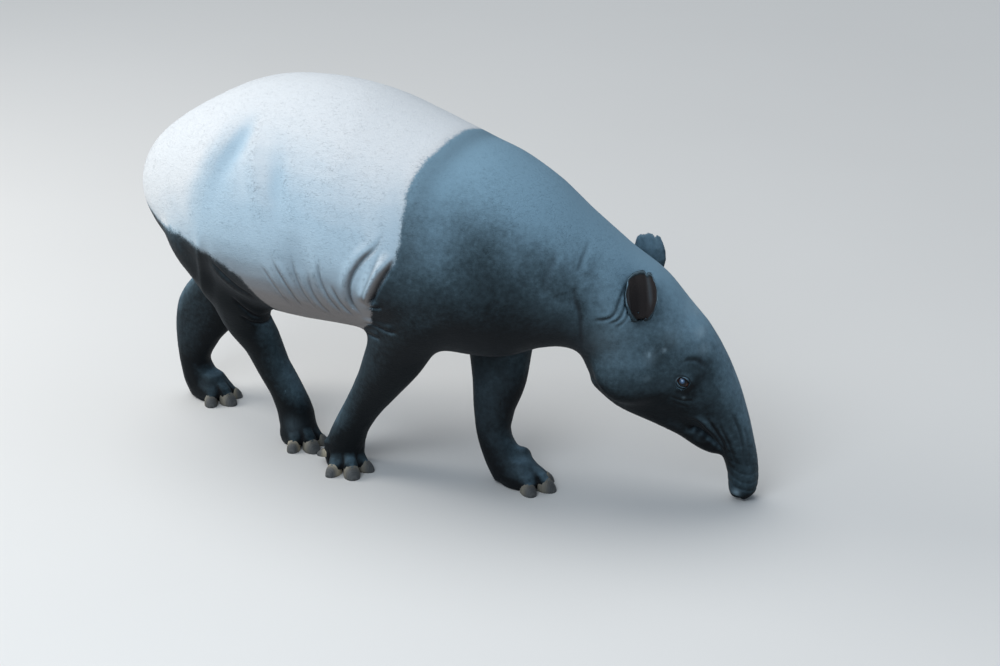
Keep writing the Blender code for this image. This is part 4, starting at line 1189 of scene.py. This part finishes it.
def mixed(tree, share, first, second, blend="MIX"):
    """Two colours mixed by a share."""
    made = tree.nodes.new("ShaderNodeMix")
    made.data_type = "RGBA"
    made.blend_type = blend
    for socket, value in (("Factor", share), (6, first), (7, second)):
        feed(tree, made.inputs[socket], value)
    return made.outputs[2]


def noise(tree, vector, scale, detail=2.0, roughness=0.5):
    return add_node(tree, "ShaderNodeTexNoise", [
        ("Vector", vector), ("Scale", scale), ("Detail", detail), ("Roughness", roughness)]).outputs["Fac"]


def ramp(tree, value, low, high):
    """A smooth 0 to 1 between two values."""
    return add_node(tree, "ShaderNodeMapRange", [("Value", value), ("From Min", low), ("From Max", high)],
                    interpolation_type="SMOOTHSTEP").outputs["Result"]


FLOAT, COLOUR = "NodeSocketFloat", "NodeSocketColor"


def markings_group():
    """Where the coat is white: the border's distance, made ragged by two sizes of noise, and stepped."""
    tree, given, result = new_group("saddle_markings", [
        ("Border", FLOAT, 0.0), ("Wave", FLOAT, 0.014), ("Ragged", FLOAT, 0.026),
        ("Softness", FLOAT, 0.0055)], [("White", FLOAT)])
    place = tree.nodes.new("ShaderNodeTexCoord").outputs["Object"]
    border = given.outputs["Border"]
    patterns = {"Wave": noise(tree, place, 42.0), "Ragged": noise(tree, place, 330.0, 3.0, 0.7)}
    for size, pattern in patterns.items():
        centred = maths(tree, "SUBTRACT", pattern, 0.5)
        border = maths(tree, "MULTIPLY_ADD", centred, given.outputs[size], border)
    low = maths(tree, "MULTIPLY", given.outputs["Softness"], -1.0)
    link(tree, ramp(tree, border, low, given.outputs["Softness"]), result.inputs["White"])
    return tree


# The coat's colours: painted shade on hide that faces down and to the side, painted light and sheen on hide
# that faces up, then where it differs
WHITE_PAINTED_SHADE_BELOW, WHITE_PAINTED_SIDE_SHADE, WHITE_PAINTED_LIGHT_ABOVE = (0.17, 0.24, 0.30, 1), (0.43, 0.57, 0.67, 1), (0.75, 0.765, 0.775, 1)
WHITE_MOTTLE, WHITE_PAINTED_BELLY_SHADE = (0.55, 0.64, 0.71, 1), (0.20, 0.185, 0.18, 1)
BLACK_PAINTED_SHADE_BELOW, BLACK_PAINTED_SIDE_SHADE = (0.0035, 0.0055, 0.0070, 1), (0.040, 0.067, 0.084, 1)
BLACK_PAINTED_SHEEN_ABOVE, BLACK_PAINTED_BELLY_SHADE = (0.205, 0.335, 0.430, 1), (0.010, 0.011, 0.013, 1)
WARM_BROWN, PALE_HAIR_AND_SHEEN = (0.044, 0.037, 0.036, 1), (0.30, 0.42, 0.50, 1)
CREASE_PAINTED_SHADE, IN_SHADE = (0.010, 0.009, 0.010, 1), (0.003, 0.003, 0.004, 1)


def colour_group():
    """The coat's colour: white in the saddle, with painted shade that turns it bluer down the sides and
    grey-brown below; elsewhere near black, painted darker below and with a steel-blue painted sheen in patches
    where it faces up, brown where the brown value is highest, painted shade on the belly, paler in the pale
    spots, and darker with painted shade in creases and shaded places."""
    tree, given, result = new_group("coat_colour", [
        ("White", FLOAT, 0.0), ("Sky", FLOAT, 0.0), ("Warm", FLOAT, 0.0), ("Pale", FLOAT, 0.0),
        ("Crease", FLOAT, 0.0), ("Dark", FLOAT, 0.0), ("Tone", FLOAT, 0.5)], [("Color", COLOUR)])
    place = tree.nodes.new("ShaderNodeTexCoord").outputs["Object"]
    patches = noise(tree, place, 5.0, 4.0, 0.6)
    mottle = noise(tree, place, 75.0, 4.0, 0.65)
    sky, warm = given.outputs["Sky"], given.outputs["Warm"]
    uneven = maths(tree, "MULTIPLY_ADD", patches, 0.7, -0.35)
    cloudy = maths(tree, "MULTIPLY_ADD", mottle, 0.5, -0.25)

    # Painted light and shade by how the hide faces: on the white, then on the black with a painted steel-blue
    # sheen
    facing = maths(tree, "ADD", sky, maths(tree, "MULTIPLY", uneven, 0.5))
    white = mixed(tree, ramp(tree, facing, -0.55, 0.10), WHITE_PAINTED_SHADE_BELOW, WHITE_PAINTED_SIDE_SHADE)
    white = mixed(tree, ramp(tree, facing, 0.08, 0.80), white, WHITE_PAINTED_LIGHT_ABOVE)
    white = mixed(tree, maths(tree, "MULTIPLY", mottle, 0.15), white, WHITE_MOTTLE)
    # Painted shade on the belly and between the legs
    white = mixed(tree, maths(tree, "MULTIPLY", warm, 1.0, clamp=True), white, WHITE_PAINTED_BELLY_SHADE)

    facing = maths(tree, "ADD", sky, maths(tree, "ADD", uneven, cloudy))
    black = mixed(tree, ramp(tree, facing, -0.55, 0.15), BLACK_PAINTED_SHADE_BELOW, BLACK_PAINTED_SIDE_SHADE)
    black = mixed(tree, ramp(tree, facing, -0.12, 0.84), black, BLACK_PAINTED_SHEEN_ABOVE)
    # Painted shade on the belly and between the legs, a darker band by the saddle, then the brown of the eyes'
    # corners and ears' insides
    black = mixed(tree, maths(tree, "MULTIPLY", warm, 0.60, clamp=True), black, BLACK_PAINTED_BELLY_SHADE)
    black = mixed(tree, ramp(tree, warm, 1.1, 1.6), black, WARM_BROWN)
    # Pale hair, with painted sheen on the forehead and painted light on the hind feet
    black = mixed(tree, given.outputs["Pale"], black, PALE_HAIR_AND_SHEEN)

    both = mixed(tree, given.outputs["White"], black, white)
    tone = maths(tree, "MULTIPLY_ADD", given.outputs["Tone"], 0.40, 0.80)
    spread = add_node(tree, "ShaderNodeCombineColor", [("Red", tone), ("Green", tone), ("Blue", tone)])
    both = mixed(tree, 1.0, both, spread.outputs["Color"], "MULTIPLY")
    # Painted shade in the creases and in shaded places
    creased = mixed(tree, maths(tree, "MULTIPLY", given.outputs["Crease"], 0.75), both, CREASE_PAINTED_SHADE)
    shaded = mixed(tree, maths(tree, "MULTIPLY", given.outputs["Dark"], 0.94), creased, IN_SHADE)
    link(tree, shaded, result.inputs["Color"])
    return tree


def grain_group():
    """Height of the short flat hair that is too fine to be solid: streaks along the coat's slant on the
    barrel, and a fine pebble under them."""
    tree, given, result = new_group(
        "hair_grain", [("Streak Scale", FLOAT, 1.0), ("Pebble Scale", FLOAT, 420.0)], [("Height", FLOAT)])
    place = tree.nodes.new("ShaderNodeTexCoord").outputs["Object"]
    slanted = add_node(tree, "ShaderNodeMapping", [
        ("Vector", place), ("Rotation", (0.0, math.radians(-28), 0.0)), ("Scale", (85.0, 230.0, 270.0))])
    streaks = noise(tree, slanted.outputs["Vector"], given.outputs["Streak Scale"], 3.0, 0.6)
    pebble = noise(tree, place, given.outputs["Pebble Scale"], 2.0, 0.5)
    both = maths(tree, "ADD", maths(tree, "MULTIPLY", streaks, 0.75), maths(tree, "MULTIPLY", pebble, 0.25))
    link(tree, both, result.inputs["Height"])
    return tree


def read_value(tree, name, kind="Fac"):
    return add_node(tree, "ShaderNodeAttribute", attribute_name=name).outputs[kind]


def new_material(name, **sockets):
    """A material with its shader's fixed sockets set. Returns the material, its tree and the shader."""
    made = bpy.data.materials.new(name)
    made.use_nodes = True
    shader = made.node_tree.nodes["Principled BSDF"]
    for key, value in sockets.items():
        shader.inputs[key.replace("_", " ")].default_value = value
    return made, made.node_tree, shader


def use_group(tree, group, **inputs):
    """A group placed in a material, with values or links on its named inputs."""
    made = tree.nodes.new("ShaderNodeGroup")
    made.node_tree = group
    for key, value in inputs.items():
        feed(tree, made.inputs[key.replace("_", " ")], value)
    return made


def coated(tree, groups, tone):
    """The colour of skin or coat, from the values kept at its points."""
    white = use_group(tree, groups["markings"], Border=read_value(tree, "border"))
    return use_group(
        tree, groups["colour"], White=white.outputs["White"], Sky=read_value(tree, "sky"),
        Warm=read_value(tree, "warm"), Pale=read_value(tree, "pale"), Crease=read_value(tree, "crease"),
        Dark=read_value(tree, "dark"), Tone=tone)


HAIR_SHEEN = {"Sheen_Weight": 0.04, "Sheen_Roughness": 0.45, "Sheen_Tint": (0.62, 0.78, 0.92, 1),
              "Specular_IOR_Level": 0.10}
OWN_SLOPE = 0.24             # share of a tuft's own slope in how it takes the light; the rest is the hide's


def skin_material(groups):
    material, tree, shader = new_material("short_hair_on_hide", Roughness=0.62, **HAIR_SHEEN)
    colour = coated(tree, groups, 0.50)
    grain = use_group(tree, groups["grain"])
    bump = add_node(tree, "ShaderNodeBump", [
        ("Height", grain.outputs["Height"]), ("Strength", 0.8), ("Distance", 0.0016)])
    link(tree, colour.outputs["Color"], shader.inputs["Base Color"])
    link(tree, bump.outputs["Normal"], shader.inputs["Normal"])
    return material


def coat_material(groups):
    """Tufts: lighter to the tip, lit mostly as the hide below them is, so that the coat reads as one."""
    material, tree, shader = new_material("coat_tufts", Roughness=0.60, **HAIR_SHEEN)
    lifted = maths(tree, "MULTIPLY_ADD", read_value(tree, "tip"), 0.30, -0.12)
    tone = maths(tree, "ADD", read_value(tree, "tone"), lifted)
    colour = coated(tree, groups, tone)
    own = add_node(tree, "ShaderNodeNewGeometry").outputs["Normal"]
    part_own = vector_maths(tree, "SCALE", {0: own, 3: OWN_SLOPE})
    part_hide = vector_maths(tree, "SCALE", {0: read_value(tree, "hide_normal", "Vector"), 3: 1 - OWN_SLOPE})
    normal = vector_maths(tree, "NORMALIZE", {0: vector_maths(tree, "ADD", {0: part_own, 1: part_hide})})
    link(tree, colour.outputs["Color"], shader.inputs["Base Color"])
    link(tree, normal, shader.inputs["Normal"])
    return material


def horn_material():
    """Hooves: grey horn with growth rings, cream towards the root, most on the outer and small hooves."""
    material, tree, shader = new_material("hoof_horn_rings", Roughness=0.55, Specular_IOR_Level=0.4)
    place = tree.nodes.new("ShaderNodeTexCoord").outputs["Object"]
    down = read_value(tree, "down_the_wall")
    wall = add_node(tree, "ShaderNodeCombineXYZ", [("X", maths(tree, "MULTIPLY", down, 9.0))])
    rings = noise(tree, wall.outputs[0], 2.6, 3.0, 0.6)
    mottle = noise(tree, place, 120.0, 4.0, 0.6)
    horn = mixed(tree, ramp(tree, rings, 0.35, 0.65), (0.036, 0.042, 0.046, 1), (0.085, 0.092, 0.095, 1))
    horn = mixed(tree, maths(tree, "MULTIPLY", mottle, 0.4), horn, (0.13, 0.125, 0.115, 1))
    cream = maths(tree, "MULTIPLY", read_value(tree, "cream"),
                  maths(tree, "SUBTRACT", 1.0, ramp(tree, down, 0.30, 0.85)))
    horn = mixed(tree, maths(tree, "MULTIPLY", cream, 0.85), horn, (0.50, 0.44, 0.32, 1))
    link(tree, horn, shader.inputs["Base Color"])
    height = maths(tree, "ADD", maths(tree, "MULTIPLY", rings, 0.7), maths(tree, "MULTIPLY", mottle, 0.5))
    bump = add_node(tree, "ShaderNodeBump", [("Height", height), ("Strength", 0.6), ("Distance", 0.0009)])
    link(tree, bump.outputs["Normal"], shader.inputs["Normal"])
    rough = maths(tree, "MULTIPLY_ADD", mottle, 0.35, 0.42)
    link(tree, rough, shader.inputs["Roughness"])
    return material


# Soft patches of the eye's colour: place along and up the ball in radii, size, and colour. The first is a blue
# painted reflection in the wet cornea, the second a painted highlight in its middle, the third the red-brown
# front corner
EYE_PAINTED_REFLECTIONS_AND_CORNER = [(-0.26, 0.28, 0.42, (0.070, 0.140, 0.260, 1)), (-0.28, 0.34, 0.17, (0.42, 0.55, 0.72, 1)),
              (0.52, -0.38, 0.40, (0.110, 0.045, 0.034, 1))]


def eye_material():
    """A wet dark eye: a wide black pupil, a brown iris with fine spokes, a dark rim and brown white, and a
    painted reflection and a painted highlight on the cornea.
    """
    material, tree, shader = new_material(
        "dark_wet_eye", Roughness=0.35, Coat_Weight=0.35, Coat_Roughness=0.05, Specular_IOR_Level=0.10)
    angle = read_value(tree, "from_gaze")
    level, upright = read_value(tree, "level"), read_value(tree, "upright")
    wide = maths(tree, "SQRT", maths(tree, "MULTIPLY_ADD", maths(tree, "POWER", level, 2.0), 0.6,
                                     maths(tree, "POWER", upright, 2.0)))
    around = maths(tree, "ARCTAN2", upright, level)
    turned = add_node(tree, "ShaderNodeCombineXYZ", [
        ("X", maths(tree, "MULTIPLY", around, 9.0)), ("Y", maths(tree, "MULTIPLY", angle, 3.0))])
    spokes = noise(tree, turned.outputs[0], 2.0, 3.0)
    iris = mixed(tree, spokes, (0.004, 0.003, 0.003, 1), (0.016, 0.009, 0.007, 1))
    iris = mixed(tree, ramp(tree, wide, 0.34, 0.42), (0.0012, 0.0012, 0.0020, 1), iris)
    iris = mixed(tree, ramp(tree, angle, 0.60, 0.68), iris, (0.003, 0.002, 0.002, 1))
    outside = mixed(tree, spokes, (0.050, 0.018, 0.013, 1), (0.090, 0.040, 0.030, 1))
    ball_colour = mixed(tree, ramp(tree, angle, 0.80, 0.98), iris, outside)
    # Painted reflection and painted highlight on the cornea, and the red-brown front corner
    for across, up, size, colour in EYE_PAINTED_REFLECTIONS_AND_CORNER:
        off = maths(tree, "ADD", maths(tree, "POWER", maths(tree, "SUBTRACT", level, across), 2.0),
                    maths(tree, "POWER", maths(tree, "SUBTRACT", upright, up), 2.0))
        near = maths(tree, "SUBTRACT", 1.0, ramp(tree, maths(tree, "SQRT", off), 0.3 * size, size))
        ball_colour = mixed(tree, near, ball_colour, colour)
    link(tree, ball_colour, shader.inputs["Base Color"])
    return material


def floor_material():
    material, tree, shader = new_material("pale_floor", Roughness=0.85, Specular_IOR_Level=0.2)
    place = tree.nodes.new("ShaderNodeTexCoord").outputs["Object"]
    tint = mixed(tree, noise(tree, place, 0.7, 3.0), (0.74, 0.73, 0.71, 1), (0.78, 0.77, 0.75, 1))
    link(tree, tint, shader.inputs["Base Color"])
    return material


def build_floor():
    """A plain square floor, just under the soles."""
    corners = 30.0 * np.array([[-1, -1, 0], [1, -1, 0], [1, 1, 0], [-1, 1, 0]], float)
    floor = make_piece("studio_floor", corners, np.array([[0, 1, 2, 3]]))
    floor.data.materials.append(floor_material())


CAMERA_PLACE = (3.3298, -4.6639, 2.6150)   # from the body's zero
CAMERA_DOWN = math.radians(22)
CAMERA_TURN = math.radians(31)
LENS = 84.96                               # mm, on a sensor 36 mm wide


def set_camera():
    camera = bpy.data.cameras.new("camera")
    camera.lens = LENS
    camera.sensor_width = 36.0
    holder = bpy.data.objects.new("camera", camera)
    holder.location = Vector(np.array(CAMERA_PLACE) + ORIGIN)
    holder.rotation_euler = (math.pi / 2 - CAMERA_DOWN, 0.0, CAMERA_TURN)
    bpy.context.scene.collection.objects.link(holder)
    bpy.context.scene.camera = holder


# Soft boxes: place, what they look at, width and height in metres, watts, colour
SOFT_BOXES = {
    "rear_left": ((-4.2, -1.2, 2.8), (-0.6, 0.0, 0.65), 2.4, 2.0, 105.0, (1.0, 0.98, 0.95)),
    "near_side": ((0.5, -3.4, 3.4), (0.5, 0.0, 0.4), 2.4, 1.8, 72.0, (0.84, 0.92, 1.0)),
}
DAYLIGHT_FROM = (-0.35, 0.10, 1.0)
DAYLIGHT_SPREAD = math.radians(50)
DAYLIGHT_POWER = 1.15        # watts per square metre
DAYLIGHT_COLOUR = (1.0, 0.985, 0.96)
SKY_COLOUR = (0.70, 0.84, 1.0, 1)
SKY_STRENGTH = 0.34


def set_lights():
    for name, (place, target, width, height, watts, colour) in SOFT_BOXES.items():
        light = bpy.data.lights.new(name, "AREA")
        light.shape = "RECTANGLE"
        light.size, light.size_y = width, height
        light.energy = watts
        light.color = colour
        holder = bpy.data.objects.new(name, light)
        holder.location = place
        holder.rotation_euler = (Vector(target) - Vector(place)).to_track_quat("-Z", "Y").to_euler()
        bpy.context.scene.collection.objects.link(holder)
    daylight = bpy.data.lights.new("daylight", "SUN")
    daylight.angle = DAYLIGHT_SPREAD
    daylight.energy = DAYLIGHT_POWER
    daylight.color = DAYLIGHT_COLOUR
    holder = bpy.data.objects.new("daylight", daylight)
    holder.rotation_euler = (-Vector(DAYLIGHT_FROM)).to_track_quat("-Z", "Y").to_euler()
    bpy.context.scene.collection.objects.link(holder)
    world = bpy.data.worlds.new("studio")
    world.use_nodes = True
    background = world.node_tree.nodes["Background"]
    background.inputs["Color"].default_value = SKY_COLOUR
    background.inputs["Strength"].default_value = SKY_STRENGTH
    bpy.context.scene.world = world
    bpy.context.scene.view_settings.view_transform = "Standard"


def main():
    groups = {"markings": markings_group(), "colour": colour_group(), "grain": grain_group()}
    hide, tufts = skin_material(groups), coat_material(groups)
    horn, wet = horn_material(), eye_material()

    skin = build_skin()
    for name, value in skin_values(read_points(skin.data), read_normals(skin.data)).items():
        set_values(skin.data, name, value)
    skin.data.materials.append(hide)
    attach(skin, "root")
    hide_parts(*FLESH)

    coat = grow_coat(skin)
    for name in EARS:
        cup, outer, normal, edge = ear(name)
        cup.data.materials.append(hide)
        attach(cup, "root")
        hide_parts(name)
        coat.append(ear_coat(name, outer, normal, edge))
    for piece in coat:
        piece.data.materials.append(tufts)
        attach(piece, "root")

    for side, node in ((LEFT, "eye_left"), (RIGHT, "eye_right")):
        ball_piece = eyeball(side)
        ball_piece.data.materials.append(wet)
        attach(ball_piece, "root")
        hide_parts(node)
    for name in HOOVES:
        piece = hoof(name)
        piece.data.materials.append(horn)
        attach(piece, "root")
        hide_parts(name)

    build_floor()
    set_camera()
    set_lights()


main()
